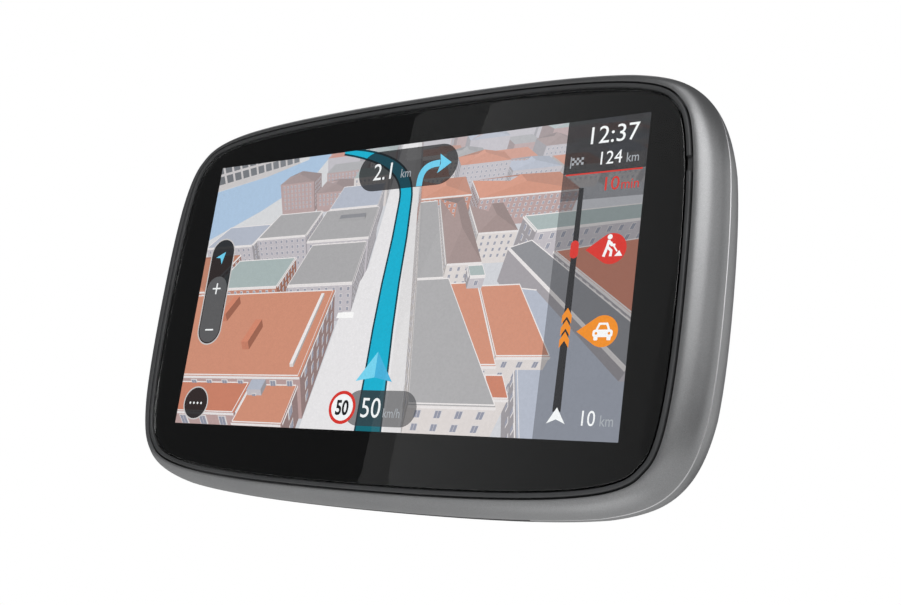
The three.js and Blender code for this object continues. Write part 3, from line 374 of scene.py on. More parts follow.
# ---------- materials ----------

def set_stops(ramp, stops):
    """Gives a colour ramp node its (position, colour) stops."""
    while len(ramp.color_ramp.elements) < len(stops):
        ramp.color_ramp.elements.new(0.5)
    for element, (position, colour) in zip(ramp.color_ramp.elements, stops):
        element.position = position
        element.color = (*colour, 1)


class Shader:
    """A material with one Principled shader and short calls for the nodes that feed it."""

    def __init__(self, name, **constants):
        self.material = bpy.data.materials.new(name)
        self.material.use_nodes = True
        self.nodes = self.material.node_tree.nodes
        self.links = self.material.node_tree.links
        self.surface = self.nodes["Principled BSDF"]
        for socket, value in constants.items():
            self.surface.inputs[socket.replace("_", " ")].default_value = value
        self.place = self.nodes.new("ShaderNodeTexCoord").outputs["Object"]

    def stretched(self, x, y, z):
        """Coordinates in millimetres, each axis times its own factor."""
        mapping = self.nodes.new("ShaderNodeMapping")
        mapping.inputs["Scale"].default_value = (x / MM, y / MM, z / MM)
        self.links.new(self.place, mapping.inputs["Vector"])
        return mapping.outputs["Vector"]

    def noise(self, size, detail=4.0, roughness=0.55, where=None):
        """Noise whose blobs are about that many millimetres across."""
        node = self.nodes.new("ShaderNodeTexNoise")
        node.inputs["Scale"].default_value = 1 / size
        node.inputs["Detail"].default_value = detail
        node.inputs["Roughness"].default_value = roughness
        self.links.new(where or self.stretched(1, 1, 1), node.inputs["Vector"])
        return node.outputs["Fac"]

    def cells(self, size, feature="F1", output="Distance", where=None):
        node = self.nodes.new("ShaderNodeTexVoronoi")
        node.feature = feature
        node.inputs["Scale"].default_value = 1 / size
        self.links.new(where or self.stretched(1, 1, 1), node.inputs["Vector"])
        return node.outputs[output]

    def ramp(self, value, stops):
        node = self.nodes.new("ShaderNodeValToRGB")
        set_stops(node, stops)
        self.links.new(value, node.inputs["Fac"])
        return node.outputs["Color"]

    def spread(self, value, low, high, start=0.0, end=1.0):
        node = self.nodes.new("ShaderNodeMapRange")
        node.inputs["From Min"].default_value = start
        node.inputs["From Max"].default_value = end
        node.inputs["To Min"].default_value = low
        node.inputs["To Max"].default_value = high
        self.links.new(value, node.inputs["Value"])
        return node.outputs["Result"]

    def combined(self, first, second, operation="MULTIPLY"):
        node = self.nodes.new("ShaderNodeMath")
        node.operation = operation
        self.links.new(first, node.inputs[0])
        self.links.new(second, node.inputs[1])
        return node.outputs["Value"]

    def blended(self, factor, first, second, mode="MIX"):
        node = self.nodes.new("ShaderNodeMix")
        node.data_type = "RGBA"
        node.blend_type = mode
        sockets = (node.inputs["Factor"], node.inputs[6], node.inputs[7])
        for value, socket in zip((factor, first, second), sockets):
            if isinstance(value, (int, float, tuple)):
                socket.default_value = value
            else:
                self.links.new(value, socket)
        return node.outputs[2]

    def parting_highlight_mask(self):
        """1 on the edges beside the parting line, where the paint is lightened into a painted highlight, 0
        away from it.
        """
        axes = self.nodes.new("ShaderNodeSeparateXYZ")
        self.links.new(self.place, axes.inputs["Vector"])
        middle = (CROWN_Y + COVER_FRONT) * MM
        depth = axes.outputs["Y"]
        before = self.spread(depth, 0.0, 1.0, middle - PARTING_HIGHLIGHT_FRONT[0] * MM, middle - PARTING_HIGHLIGHT_FRONT[1] * MM)
        after = self.spread(depth, 1.0, 0.0, middle + PARTING_HIGHLIGHT_BACK[0] * MM, middle + PARTING_HIGHLIGHT_BACK[1] * MM)
        return self.combined(before, after)

    def feed(self, socket, value):
        self.links.new(value, self.surface.inputs[socket])
        return self

    def toned(self, texture, start, dark, end, light):
        """Base colour that runs from dark to light over that stretch of the texture."""
        return self.feed("Base Color", self.ramp(texture, [(start, dark), (end, light)]))

    def gloss(self, texture, low, high):
        return self.feed("Roughness", self.spread(texture, low, high))

    def bump(self, height, distance):
        """Relief whose height of 1 is that many millimetres."""
        node = self.nodes.new("ShaderNodeBump")
        node.inputs["Strength"].default_value = 1.0
        node.inputs["Distance"].default_value = distance * MM
        self.links.new(height, node.inputs["Height"])
        return self.feed("Normal", node.outputs["Normal"])


def shade(colour, factor):
    return tuple(min(1.0, channel * factor) for channel in colour)


def metallic_paint(name="metallic_paint", painted_parting_highlight=False):
    """Silver-grey paint over plastic: fine flakes, a faint orange peel and a slow drift of tone."""
    paint = Shader(name, Metallic=0.92, IOR=1.5, Coat_Weight=0.08, Coat_Roughness=0.2)
    flakes = paint.cells(0.09, output="Color")
    drift = paint.noise(14.0, detail=2.0)
    tone = paint.ramp(drift, [(0.3, (0.44, 0.443, 0.45)), (0.7, (0.475, 0.478, 0.483))])
    sparkle = paint.ramp(flakes, [(0.0, (0.86, 0.86, 0.86)), (1.0, (1.14, 1.14, 1.14))])
    colour = paint.blended(1.0, tone, sparkle, "MULTIPLY")
    # A lighter paint colour along the parting line: a painted highlight of the light that its rounded edges
    # catch.
    if painted_parting_highlight:
        colour = paint.blended(paint.parting_highlight_mask(), colour, (0.95, 0.95, 0.96, 1))
    paint.feed("Base Color", colour)
    paint.gloss(paint.noise(0.35), 0.36, 0.44)
    return paint.bump(paint.noise(0.8, detail=3.0), 0.0022).material


def satin_plastic(name, colour, roughness=0.45, grain=0.12, relief=0.004):
    """Moulded plastic with a fine spark-eroded grain and slight unevenness of tone and gloss."""
    plastic = Shader(name, Metallic=0.0, IOR=1.5)
    drift = plastic.noise(9.0, detail=3.0)
    plastic.toned(drift, 0.3, shade(colour, 0.88), 0.7, shade(colour, 1.12))
    texture = plastic.noise(grain, detail=5.0, roughness=0.7)
    plastic.gloss(texture, roughness - 0.07, roughness + 0.07)
    return plastic.bump(texture, relief).material


def clear_glass():
    """Hardened glass, barely smudged, so that its gloss wanders a little."""
    glass = Shader("clear_glass", Metallic=0.0, IOR=1.5, Transmission_Weight=1.0)
    glass.surface.inputs["Base Color"].default_value = (0.97, 0.985, 0.98, 1)
    return glass.feed("Roughness", glass.spread(glass.noise(30.0, detail=1.0), 0.0, 0.012, 0.4, 0.8)).material


def black_print():
    """The black ceramic ink behind the glass, with its fine screen-print speckle."""
    ink = Shader("black_print", Metallic=0.0, Roughness=0.8, Specular_IOR_Level=0.0)
    speckle = ink.noise(5.0, detail=2.0)
    return ink.toned(speckle, 0.35, (0.0002, 0.0002, 0.00023), 0.7, (0.0004, 0.0004, 0.00044)).material


def mottled(name, size, dark, light, gloss, relief, detail=5.0, stops=(0.3, 0.7), stretch=(1, 1, 1),
            roughness=0.55, **constants):
    """A finish whose tone, gloss and relief all follow one noise."""
    finish = Shader(name, **constants)
    texture = finish.noise(size, detail, roughness, finish.stretched(*stretch))
    finish.toned(texture, stops[0], dark, stops[1], light)
    finish.gloss(texture, *gloss)
    return finish.bump(texture, relief).material


def brushed_steel():
    colour = (0.56, 0.565, 0.57)
    return mottled("brushed_steel", 0.05, shade(colour, 0.85), shade(colour, 1.1), (0.2, 0.42), 0.002,
                   stretch=(0.06, 1, 1), Metallic=1.0)


def circuit_board():
    """Green solder mask over a web of copper tracks and pads."""
    board = Shader("circuit_board", Metallic=0.0, IOR=1.5)
    flat = board.stretched(1, 0, 1)
    tracks = board.cells(2.4, feature="DISTANCE_TO_EDGE", where=flat)
    pads = board.cells(0.9, where=flat)
    track_line = board.spread(tracks, 1.0, 0.0, 0.03, 0.07)
    pad_dot = board.spread(pads, 1.0, 0.0, 0.12, 0.2)
    copper = board.combined(track_line, pad_dot, "MAXIMUM")
    board.toned(copper, 0.0, (0.007, 0.07, 0.028), 1.0, (0.02, 0.15, 0.055))
    board.gloss(board.noise(0.5), 0.28, 0.42)
    return board.bump(copper, 0.02).material


def chip_resin():
    return mottled("chip_resin", 0.12, (0.007, 0.007, 0.008), (0.024, 0.024, 0.026), (0.45, 0.68), 0.008,
                   detail=6.0, stops=(0.3, 0.75), roughness=0.75, Metallic=0.0)


def fired_ceramic():
    return mottled("fired_ceramic", 0.2, (0.5, 0.45, 0.34), (0.64, 0.59, 0.48), (0.5, 0.75), 0.01,
                   detail=6.0, Metallic=0.0)


def flex_film():
    """Amber film with fine copper conductors that run along it."""
    film = Shader("flex_film", Metallic=0.25, IOR=1.5)
    wave = film.nodes.new("ShaderNodeTexWave")
    wave.inputs["Scale"].default_value = 0.32
    film.links.new(film.stretched(1, 0, 0), wave.inputs["Vector"])
    film.toned(wave.outputs["Fac"], 0.35, (0.36, 0.12, 0.02), 0.6, (0.55, 0.25, 0.08))
    film.gloss(film.noise(0.4), 0.25, 0.45)
    return film.bump(wave.outputs["Fac"], 0.015).material


def gold_plate():
    return mottled("gold_plate", 0.3, (0.72, 0.5, 0.17), (0.85, 0.63, 0.26), (0.16, 0.34), 0.003,
                   stretch=(1, 1, 0.2), Metallic=1.0)


def cellular_foam():
    foam = Shader("cellular_foam", Metallic=0.0, Specular_IOR_Level=0.2)
    pores = foam.cells(0.3)
    foam.toned(pores, 0.0, (0.006, 0.006, 0.007), 0.6, (0.03, 0.03, 0.032))
    foam.gloss(pores, 0.8, 1.0)
    return foam.bump(pores, 0.08).material


def battery_wrap():
    """Aluminium laminate with a soft crinkle."""
    wrap = Shader("battery_wrap", Metallic=0.75)
    crinkle = wrap.noise(2.2, detail=4.0)
    wrap.toned(crinkle, 0.3, (0.33, 0.37, 0.42), 0.7, (0.45, 0.49, 0.54))
    wrap.gloss(wrap.noise(0.3), 0.28, 0.42)
    return wrap.bump(crinkle, 0.12).material


def thin_film(name, colour, roughness):
    """A smooth optical film with a faint swirl in its gloss."""
    return mottled(name, 6.0, shade(colour, 0.85), shade(colour, 1.15), (roughness, roughness + 0.1), 0.001,
                   detail=4.0, Metallic=0.0, IOR=1.5)


RING_GREY = (0.1, 0.102, 0.105)
SLOT_MATERIALS = {
    "silver_paint": metallic_paint(),
    "ring_plastic": satin_plastic("ring_plastic", RING_GREY, roughness=0.38, grain=0.1, relief=0.002),
    "cover_glass": clear_glass(),
    "touch_film": thin_film("touch_film", (0.01, 0.012, 0.014), 0.15),
    "panel_glass": thin_film("panel_glass", (0.015, 0.02, 0.022), 0.12),
    "black_plastic": satin_plastic("black_plastic", (0.013, 0.013, 0.014), roughness=0.5, grain=0.16,
                                   relief=0.012),
    "grey_plastic": satin_plastic("grey_plastic", (0.05, 0.052, 0.055), roughness=0.55, grain=0.2,
                                  relief=0.01),
    "white_plastic": satin_plastic("white_plastic", (0.7, 0.7, 0.67), roughness=0.4, grain=0.2, relief=0.004),
    "steel": brushed_steel(),
    "board": circuit_board(),
    "chip": chip_resin(),
    "ceramic": fired_ceramic(),
    "flex_film": flex_film(),
    "gold": gold_plate(),
    "foam": cellular_foam(),
    "battery": battery_wrap(),
}
# The case paint carries the painted highlight along the parting line.
CASE_PAINT = metallic_paint("case_paint", painted_parting_highlight=True)


def finish_cad_nodes():
    slots = {part["node"]: part["material_slot"] for part in frame["record"]["subparts"]}
    for name, node in frame["nodes"].items():
        material = SLOT_MATERIALS[slots[name]]
        if not node.material_slots:
            node.data.materials.append(material)
        for slot in node.material_slots:
            slot.material = material


# ---------- case ----------

def add(name, mesh, slot, replaced=(), body="housing", material=None):
    piece = finished(name, mesh, material or SLOT_MATERIALS[slot], body)
    if replaced:
        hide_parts(*replaced)
    return piece


def quarter_round(steps=ROUND_STEPS):
    """(share along, share across) of a quarter circle, from its start to its end."""
    return [(math.sin(a), 1 - math.cos(a)) for a in (i / steps * math.pi / 2 for i in range(steps + 1))]


def case_front():
    """The bullnose frame: rounded at its back edge, with an inner flange that carries ring and glass."""
    lip = offset(RIM, RING_GROOVE / 2)
    nose = offset(lip, LIP_LAND / 4)
    reach = FRONT_DEPTH - LIP_HEIGHT
    last_turn = math.acos(EDGE_ROUND / reach)
    rings = [(lip, FLANGE_FRONT), (lip, LIP_HEIGHT + LIP_LAND)]
    for i in range(SWEEP_STEPS + 1):
        turn = i / SWEEP_STEPS * last_turn
        rings.append((mixed(nose, CASE, math.sin(turn)), LIP_HEIGHT + reach * (1 - math.cos(turn))))
    for along, across in quarter_round()[1:]:
        rings.append((offset(CASE, -EDGE_ROUND * across), FRONT_DEPTH - EDGE_ROUND * (1 - along)))
    wall = offset(CASE, -SHELL_WALL)
    inner = offset(RIM, -FLANGE_REACH)
    rings += [
        (wall, FRONT_DEPTH),
        *[(offset(wall, -inward), FLANGE_BACK + rise) for inward, rise in FLANGE_FILLET],
        (inner, FLANGE_BACK),
        (inner, FLANGE_FRONT),
    ]
    add("case_front", skin(rings, looped=True), "silver_paint", ["front_shell"], material=CASE_PAINT)


def bezel_band():
    rings = [(RING_OUTER, RING_BACK)]
    for along, across in quarter_round():
        rings.append((offset(RING_OUTER, -RING_ROUND * across), RING_ROUND * (1 - along)))
    for along, across in reversed(quarter_round()):
        rings.append((offset(RING_INNER, RING_ROUND * across), RING_ROUND * (1 - along)))
    rings.append((RING_INNER, RING_BACK))
    notch = block(RIM_HALF.x - MIC_NOTCH_REACH, RIM_HALF.x + 1, -1, MIC_NOTCH_DEPTH,
                  MIC_HEIGHT - MIC_NOTCH_HEIGHT / 2, MIC_HEIGHT + MIC_NOTCH_HEIGHT / 2)
    band = carved(skin(rings, looped=True), [notch])
    add("bezel_band", band, "ring_plastic", ["bezel_ring"])


def front_glass():
    rings = []
    for along, across in reversed(quarter_round()):
        rings.append((offset(GLASS, -GLASS_BEVEL * across), GLASS_FRONT + GLASS_BEVEL * (1 - along)))
    rings.append((GLASS, GLASS_BACK))
    add("front_glass", skin(rings), "cover_glass", ["cover_glass"])


def glass_print():
    """The black border on the back of the glass, open over the lit area."""
    sheet = prism(offset(GLASS, -PRINT_INSET), GLASS_BACK + PRINT_FRONT, GLASS_BACK + PRINT_BACK)
    window = block(-DISPLAY_WIDTH / 2, DISPLAY_WIDTH / 2, GLASS_BACK - 0.2, GLASS_BACK + 0.3,
                   DISPLAY_Z - DISPLAY_HEIGHT / 2, DISPLAY_Z + DISPLAY_HEIGHT / 2)
    add("glass_print", carved(sheet, [window]), "cover_glass", material=black_print())


def rear_rings(inset, start=0.0):
    """The swept back from the parting line to the middle of its crown, moved inward by an inset."""
    case, back = offset(CASE, -inset), offset(BACK, -inset)
    reach = SWEEP_DEPTH - inset
    rings = []
    for i in range(SWEEP_STEPS + 1):
        turn = start + (math.pi / 2 - start) * i / SWEEP_STEPS
        rings.append((mixed(case, back, 1 - math.cos(turn)), COVER_FRONT + reach * math.sin(turn)))
    for size in CROWN_SHARES:
        rise = BACK_CROWN * (1 - size * size)
        rings.append(([p * size for p in back], COVER_FRONT + reach + rise))
    return rings


def rear_solid(lift=0.0):
    return skin([(points, depth + lift) for points, depth in rear_rings(0)])


def dock_outline(inset):
    high = node_box("dock_tub")[1]
    half = high.x + FIT_GAP - inset
    top = high.z + FIT_GAP - inset
    return rounded_rectangle(-half, half, -2 * CASE_HALF.z, top, DOCK_CORNER - inset)


def grille_outline(inset):
    low, high = node_box("speaker_grille")
    return rounded_rectangle(low.x - FIT_GAP + inset, high.x + FIT_GAP - inset,
                             low.z - FIT_GAP + inset, high.z + FIT_GAP - inset, GRILLE_CORNER - inset)


def key_outline(grow):
    low, high = node_box("power_button")
    radius = (high.z - low.z) / 2 - BUTTON_FLANGE + grow
    return rounded_rectangle(low.x + BUTTON_FLANGE - grow, high.x - BUTTON_FLANGE + grow,
                             low.z + BUTTON_FLANGE - grow, high.z - BUTTON_FLANGE + grow, radius - HAIR)


def case_back():
    """The rear cover: swept outside, hollow inside, with a tongue that slips into the front frame."""
    inner_start = math.asin(COVER_RIM_DEPTH / (SWEEP_DEPTH - COVER_WALL))
    tongue = offset(CASE, -SHELL_WALL - TONGUE_GAP)
    inside = offset(tongue, -TONGUE_THICKNESS)
    rings = list(reversed(rear_rings(COVER_WALL, inner_start)))
    rings += [
        (inside, COVER_FRONT + COVER_RIM_DEPTH),
        (inside, COVER_FRONT - TONGUE_REACH),
        (tongue, COVER_FRONT - TONGUE_REACH),
        (tongue, COVER_FRONT),
    ]
    for along, across in reversed(quarter_round()):
        rings.append((offset(CASE, -EDGE_ROUND * across), COVER_FRONT + EDGE_ROUND * (1 - along)))
    rings += rear_rings(0, math.asin(EDGE_ROUND * 1.2 / SWEEP_DEPTH))
    slot_low, slot_high = node_box("card_socket")
    slot_y = depth_range("card_socket")[0] + CARD_SLOT_AHEAD
    slot_z = (slot_low.z + slot_high.z) / 2
    card_slot = block(-CASE_HALF.x - OVERCUT, slot_low.x - CARD_SLOT_GAP,
                      slot_y - CARD_SLOT_HALF_THICKNESS, slot_y + CARD_SLOT_HALF_THICKNESS,
                      slot_z - CARD_SLOT_HALF_HEIGHT, slot_z + CARD_SLOT_HALF_HEIGHT)
    cuts = [
        prism(dock_outline(0), 0, TOTAL_DEPTH + OVERCUT),
        prism(grille_outline(0), COVER_FRONT + OVERCUT, TOTAL_DEPTH + OVERCUT),
        prism(key_outline(FIT_GAP), COVER_FRONT + OVERCUT, TOTAL_DEPTH + OVERCUT),
        card_slot,
    ]
    add("case_back", carved(skin(rings), cuts), "silver_paint", ["rear_cover"], material=CASE_PAINT)


DOCK_FLOOR_FRONT = depth_range("usb_socket")[1] + FIT_GAP
DOCK_FLOOR_BACK = DOCK_FLOOR_FRONT + DOCK_FLOOR


def dock_cup():
    """The black tub of the dock recess, with seats for its screws and a window for the contacts."""
    inside = offset(CASE, -SHELL_WALL - TONGUE_GAP - TONGUE_THICKNESS)
    low, high = node_box("dock_tub")
    usb_low, usb_high = node_box("usb_socket")
    usb_depths = depth_range("usb_socket")
    contact_low, contact_high = node_box("contact_block")
    floor = -CASE_HALF.z
    cup = carved(rear_solid(), [prism(dock_outline(FIT_GAP), 0, TOTAL_DEPTH + OVERCUT)], "INTERSECT")
    window = rounded_rectangle(contact_low.x - FIT_GAP, contact_high.x + FIT_GAP,
                               contact_low.z - FIT_GAP, contact_high.z + FIT_GAP, CONTACT_CORNER)
    cuts = [
        prism(inside, 0, COVER_FRONT + COVER_RIM_DEPTH),
        block(low.x + DOCK_WALL, high.x - DOCK_WALL, 0, DOCK_FLOOR_FRONT,
              floor + DOCK_LEDGE, high.z + FIT_GAP - DOCK_WALL),
        prism(dock_outline(FIT_GAP + DOCK_WALL), DOCK_FLOOR_BACK, TOTAL_DEPTH + OVERCUT),
        block(usb_low.x - FIT_GAP, usb_high.x + FIT_GAP, usb_depths[0] - FIT_GAP, usb_depths[1] + 0.2,
              floor - 3, floor + 4),
        prism(window, 0, TOTAL_DEPTH),
        block(*DOCK_TOP_NOTCH, 0, DOCK_FLOOR_FRONT, high.z - DOCK_WALL - 1, high.z + 1),
    ]
    for name in ("cover_screw_1", "cover_screw_2"):
        screw_low, screw_high = node_box(name)
        middle = (screw_low + screw_high) / 2
        radius = (screw_high.x - screw_low.x) / 2
        head_front = depth_range(name)[1] - SCREW_HEAD
        cuts.append(prism(circle(middle.x, middle.z, radius + FIT_GAP), head_front - FIT_GAP, TOTAL_DEPTH))
        cuts.append(prism(circle(middle.x, middle.z, SCREW_HOLE_RADIUS), 0, TOTAL_DEPTH))
    add("dock_cup", carved(cup, cuts), "black_plastic", ["dock_tub"])


def sound_grille():
    low, high = node_box("speaker_grille")
    near = depth_range("speaker_grille")[0]
    bar = prism(grille_outline(FIT_GAP), near, TOTAL_DEPTH + OVERCUT)
    blank = carved(rear_solid(), [bar], "INTERSECT")
    middle = (low.x + high.x) / 2
    half = GRILLE_SLOT_WIDTH / 2
    slots = []
    for i in range(GRILLE_SLOTS):
        x = middle + (i - (GRILLE_SLOTS - 1) / 2) * GRILLE_PITCH
        outline = rounded_rectangle(x - half, x + half, low.z + GRILLE_MARGIN - FIT_GAP,
                                    high.z - GRILLE_MARGIN + FIT_GAP, half - HAIR, steps=6)
        slots.append(prism(outline, COVER_FRONT, TOTAL_DEPTH + OVERCUT))
    add("sound_grille", eased(carved(blank, slots), GRILLE_EDGE, 2), "black_plastic", ["speaker_grille"])


def power_key():
    """The key in the back: a domed cap on a flange, with a stem that reaches the switch."""
    low, high = node_box("power_button")
    near = depth_range("power_button")[0]
    flange_front = depth_range("speaker_grille")[0] - BUTTON_FLANGE_FRONT_GAP
    flange_back = flange_front + BUTTON_FLANGE_THICKNESS
    bar = prism(key_outline(0), flange_front, TOTAL_DEPTH + OVERCUT)
    cap = carved(rear_solid(BUTTON_PROUD), [bar], "INTERSECT")
    flange = prism(key_outline(BUTTON_FLANGE), flange_front, flange_back)
    stem = prism(circle((low.x + high.x) / 2, (low.z + high.z) / 2, STEM_RADIUS),
                 near, flange_back - STEM_SINK)
    key = carved(eased(cap, BUTTON_EDGE), [flange, stem], "UNION")
    add("power_cap", key, "black_plastic", ["power_button"], body="power_key")


# ---------- display ----------

def srgb(*channels):
    """A screen colour given as 0 to 255, as linear light."""
    shares = [c / 255 for c in channels]
    return tuple(c / 12.92 if c <= 0.04045 else ((c + 0.055) / 1.055) ** 2.4 for c in shares)


CITY_EYE_HEIGHT = 100.0
CITY_FOCAL = 70.0
HORIZON_Z = 50.0
CITY_NEAR = 30.0
MAP_FRONT = GLASS_BACK + 0.05
MAP_DEPTH = 0.085
EYE = Vector((0, 0, CITY_EYE_HEIGHT))
PITCH = math.atan(HORIZON_Z / CITY_FOCAL)
AHEAD = Vector((0, math.cos(PITCH), -math.sin(PITCH)))
UPWARD = Vector((0, math.sin(PITCH), math.cos(PITCH)))
VANISHING_X = 1.5


def on_screen(point):
    """A point of the drawn city, seen in perspective: across, depth of relief and height on the display."""
    ray = point - EYE
    distance = ray.dot(AHEAD)
    x = CITY_FOCAL * ray.x / distance + VANISHING_X
    z = CITY_FOCAL * ray.dot(UPWARD) / distance
    return place(x, MAP_FRONT + MAP_DEPTH * (1 - CITY_NEAR / distance), z + DISPLAY_Z)


HAZE = srgb(206, 208, 216)
HAZE_START = 170
HAZE_RANGE = 800
HAZE_LIMIT = 0.5


class City:
    """Coloured faces of the drawn city, which is then flattened into a thin relief behind the glass."""

    def __init__(self):
        self.shell = bmesh.new()
        self.tone = self.shell.loops.layers.float_color.new("tone")

    def face(self, corners, colour):
        """A face in its own colour, which fades into the haze with distance."""
        away = sum(c.y for c in corners) / len(corners)
        share = min(HAZE_LIMIT, max(0.0, (away - HAZE_START) / HAZE_RANGE))
        hazed = [c + (h - c) * share for c, h in zip(colour, HAZE)]
        face = self.shell.faces.new([self.shell.verts.new(c) for c in corners])
        for loop in face.loops:
            loop[self.tone] = (*hazed, 1)

    def ground(self, outline, height, colour):
        self.face([Vector((x, y, height)) for x, y in outline], colour)

    def mesh(self):
        shell = self.shell
        self.trim(EYE + AHEAD * CITY_NEAR, -AHEAD)
        for vertex in shell.verts:
            vertex.co = on_screen(vertex.co)
        for side in (-1, 1):
            self.trim(place(side * DISPLAY_WIDTH / 2, 0, 0), Vector((side, 0, 0)))
            self.trim(place(0, 0, DISPLAY_Z + side * DISPLAY_HEIGHT / 2), Vector((0, 0, side)))
        mesh = bpy.data.meshes.new("city")
        shell.to_mesh(mesh)
        shell.free()
        return mesh

    def trim(self, point, outward):
        everything = self.shell.verts[:] + self.shell.edges[:] + self.shell.faces[:]
        bmesh.ops.bisect_plane(self.shell, geom=everything, dist=1e-9, plane_co=point, plane_no=outward,
                               clear_outer=True)


TERRACOTTA = (206, 142, 118)
CORAL = (200, 128, 104)
SLATE = (170, 168, 170)
DARK_SLATE = (140, 140, 145)
LILAC = (178, 183, 197)
SEA_GREEN = (168, 180, 180)
UMBER = (160, 140, 138)
WALL_PINK = (186, 158, 156)
WALL_BRICK = (196, 138, 120)
WALL_GREY = (196, 190, 196)
WALL_CREAM = (222, 214, 212)
GLAZING = (144, 146, 162)
EAVE = (238, 232, 232)
GROUND = -6.0
WINDOW_RANGE = 330.0


def tinted(colour, factor=1.0):
    return srgb(*(min(255, channel * factor) for channel in colour))


def rectangle(x0, x1, y0, y1):
    return [Vector((x0, y0)), Vector((x1, y0)), Vector((x1, y1)), Vector((x0, y1))]


def wall(city, a, b, bottom, top, colour):
    city.face([Vector((*a, bottom)), Vector((*b, bottom)), Vector((*b, top)), Vector((*a, top))], colour)


def house(city, footprint, height, roof, side, base=GROUND, rise=0.0, windows=True, wide=2.0, parapet=True):
    """A block on a footprint that runs anticlockwise, with a flat roof inside a parapet or a hipped roof."""
    for a, b in zip(footprint, footprint[1:] + footprint[:1]):
        along = (b - a).normalized()
        out = Vector((along.y, -along.x))
        if out.dot((a + b) / 2) > 0:
            continue
        wall(city, a, b, base, height, tinted(side, 0.84 + 0.14 * max(0, -out.y) - 0.06 * abs(out.x)))
        if parapet:
            wall(city, a + out * 0.5, b + out * 0.5, height - 0.7, height + 0.5, tinted(EAVE, 0.96))
        if windows and a.y < WINDOW_RANGE:
            glaze(city, a, b, out, base, height, wide)
    middle = sum(footprint, Vector((0, 0))) / len(footprint)
    if rise:
        ridge = hip_ridge(footprint, middle)
        slopes = [(0, 1, ridge[0], ridge[0]), (1, 2, ridge[0], ridge[1]), (2, 3, ridge[1], ridge[1]),
                  (3, 0, ridge[1], ridge[0])]
        for (i, j, near, far), tone in zip(slopes, (1.0, 0.92, 0.84, 1.03)):
            crest = [Vector((*near, height + rise))]
            if far != near:
                crest.append(Vector((*far, height + rise)))
            foot = [Vector((*footprint[i], height)), Vector((*footprint[j], height))]
            city.face(foot + (crest[::-1] if i == 1 else crest), tinted(roof, tone))
        return
    city.face([Vector((*p, height)) for p in footprint], tinted(roof))
    if parapet:
        far = [p + (middle - p) * 0.012 for p in footprint]
        for i in range(len(far)):
            wall(city, far[i], far[(i + 1) % len(far)], height, height + 0.6, tinted(EAVE, 0.98))


def block_house(city, x0, x1, y0, y1, *sizes, **details):
    house(city, rectangle(x0, x1, y0, y1), *sizes, **details)


def hip_ridge(footprint, middle):
    a, b, c, d = footprint
    near, far = (a + b) / 2, (c + d) / 2
    return [near + (middle - near) * 0.6, far + (middle - far) * 0.6]


def glaze(city, a, b, out, base, height, wide):
    """Rows of windows with pale frames on the wall from a to b."""
    along = (b - a).normalized()
    pitch, storey, tall = wide * 2.1, wide * 2.0, wide * 1.25
    count = int((b - a).length / pitch)
    start = ((b - a).length - (count - 1) * pitch) / 2
    z = height - 1.6
    while z - tall > max(base, -3):
        for i in range(count):
            centre = a + along * (start + i * pitch) + out * 0.15
            if centre.y > WINDOW_RANGE:
                continue
            frame_half, pane_half = along * wide * 0.42, along * wide * 0.3
            wall(city, centre - frame_half, centre + frame_half, z - tall, z, tinted(EAVE, 0.9))
            lifted = centre + out * 0.15
            for side in (-1, 1):
                inner = lifted + pane_half * side * 0.06
                wall(city, inner, lifted + pane_half * side, z - tall + 0.3, z - 0.3, tinted(GLAZING))
        z -= storey


def chimney(city, x, y, height):
    top = tuple(c * 1.05 for c in CORAL)
    block_house(city, x - 1.6, x + 1.6, y - 6, y + 6, height + 4.0, top, CORAL,
                base=height, windows=False, parapet=False)


def left_foreground(city):
    """The big terracotta block at the lower left, with its lower wings in front."""
    block_house(city, -190, -31.5, 66, 113, 17, TERRACOTTA, WALL_PINK, wide=3.4)
    block_house(city, -37.5, -36, 70, 109, 18.6, EAVE, WALL_CREAM, base=17, windows=False, parapet=False)
    block_house(city, -190, -53, 55, 66, 13.5, CORAL, WALL_PINK, wide=4.0)
    block_house(city, -52.5, -33, 52.5, 66, 12.5, TERRACOTTA, WALL_PINK, wide=4.0)
    block_house(city, -52, -46, 62, 66, 15.5, LILAC, WALL_GREY, base=11, wide=2.2, parapet=False)
    for x, y in ((-62, 84), (-96, 76), (-84, 100)):
        chimney(city, x, y, 17)


def left_bank(city):
    """Grey roofs that step back along the left of the street, and the brick blocks beside them."""
    block_house(city, -61, -23, 118, 158, 17, SLATE, WALL_GREY)
    block_house(city, -66, -22, 160, 206, 18.5, SLATE, WALL_GREY)
    block_house(city, -108, -70, 168, 206, 19, SLATE, WALL_GREY)
    block_house(city, -50, -30, 186, 192, 20.5, DARK_SLATE, SLATE, base=18.5, windows=False, parapet=False)
    block_house(city, -112, -70, 122, 150, 14, SEA_GREEN, WALL_BRICK)
    block_house(city, -160, -118, 122, 160, 13, TERRACOTTA, WALL_BRICK, rise=5)
    block_house(city, -156, -116, 172, 204, 13, LILAC, WALL_GREY)
    block_house(city, -66, -24, 212, 262, 17, LILAC, WALL_GREY)


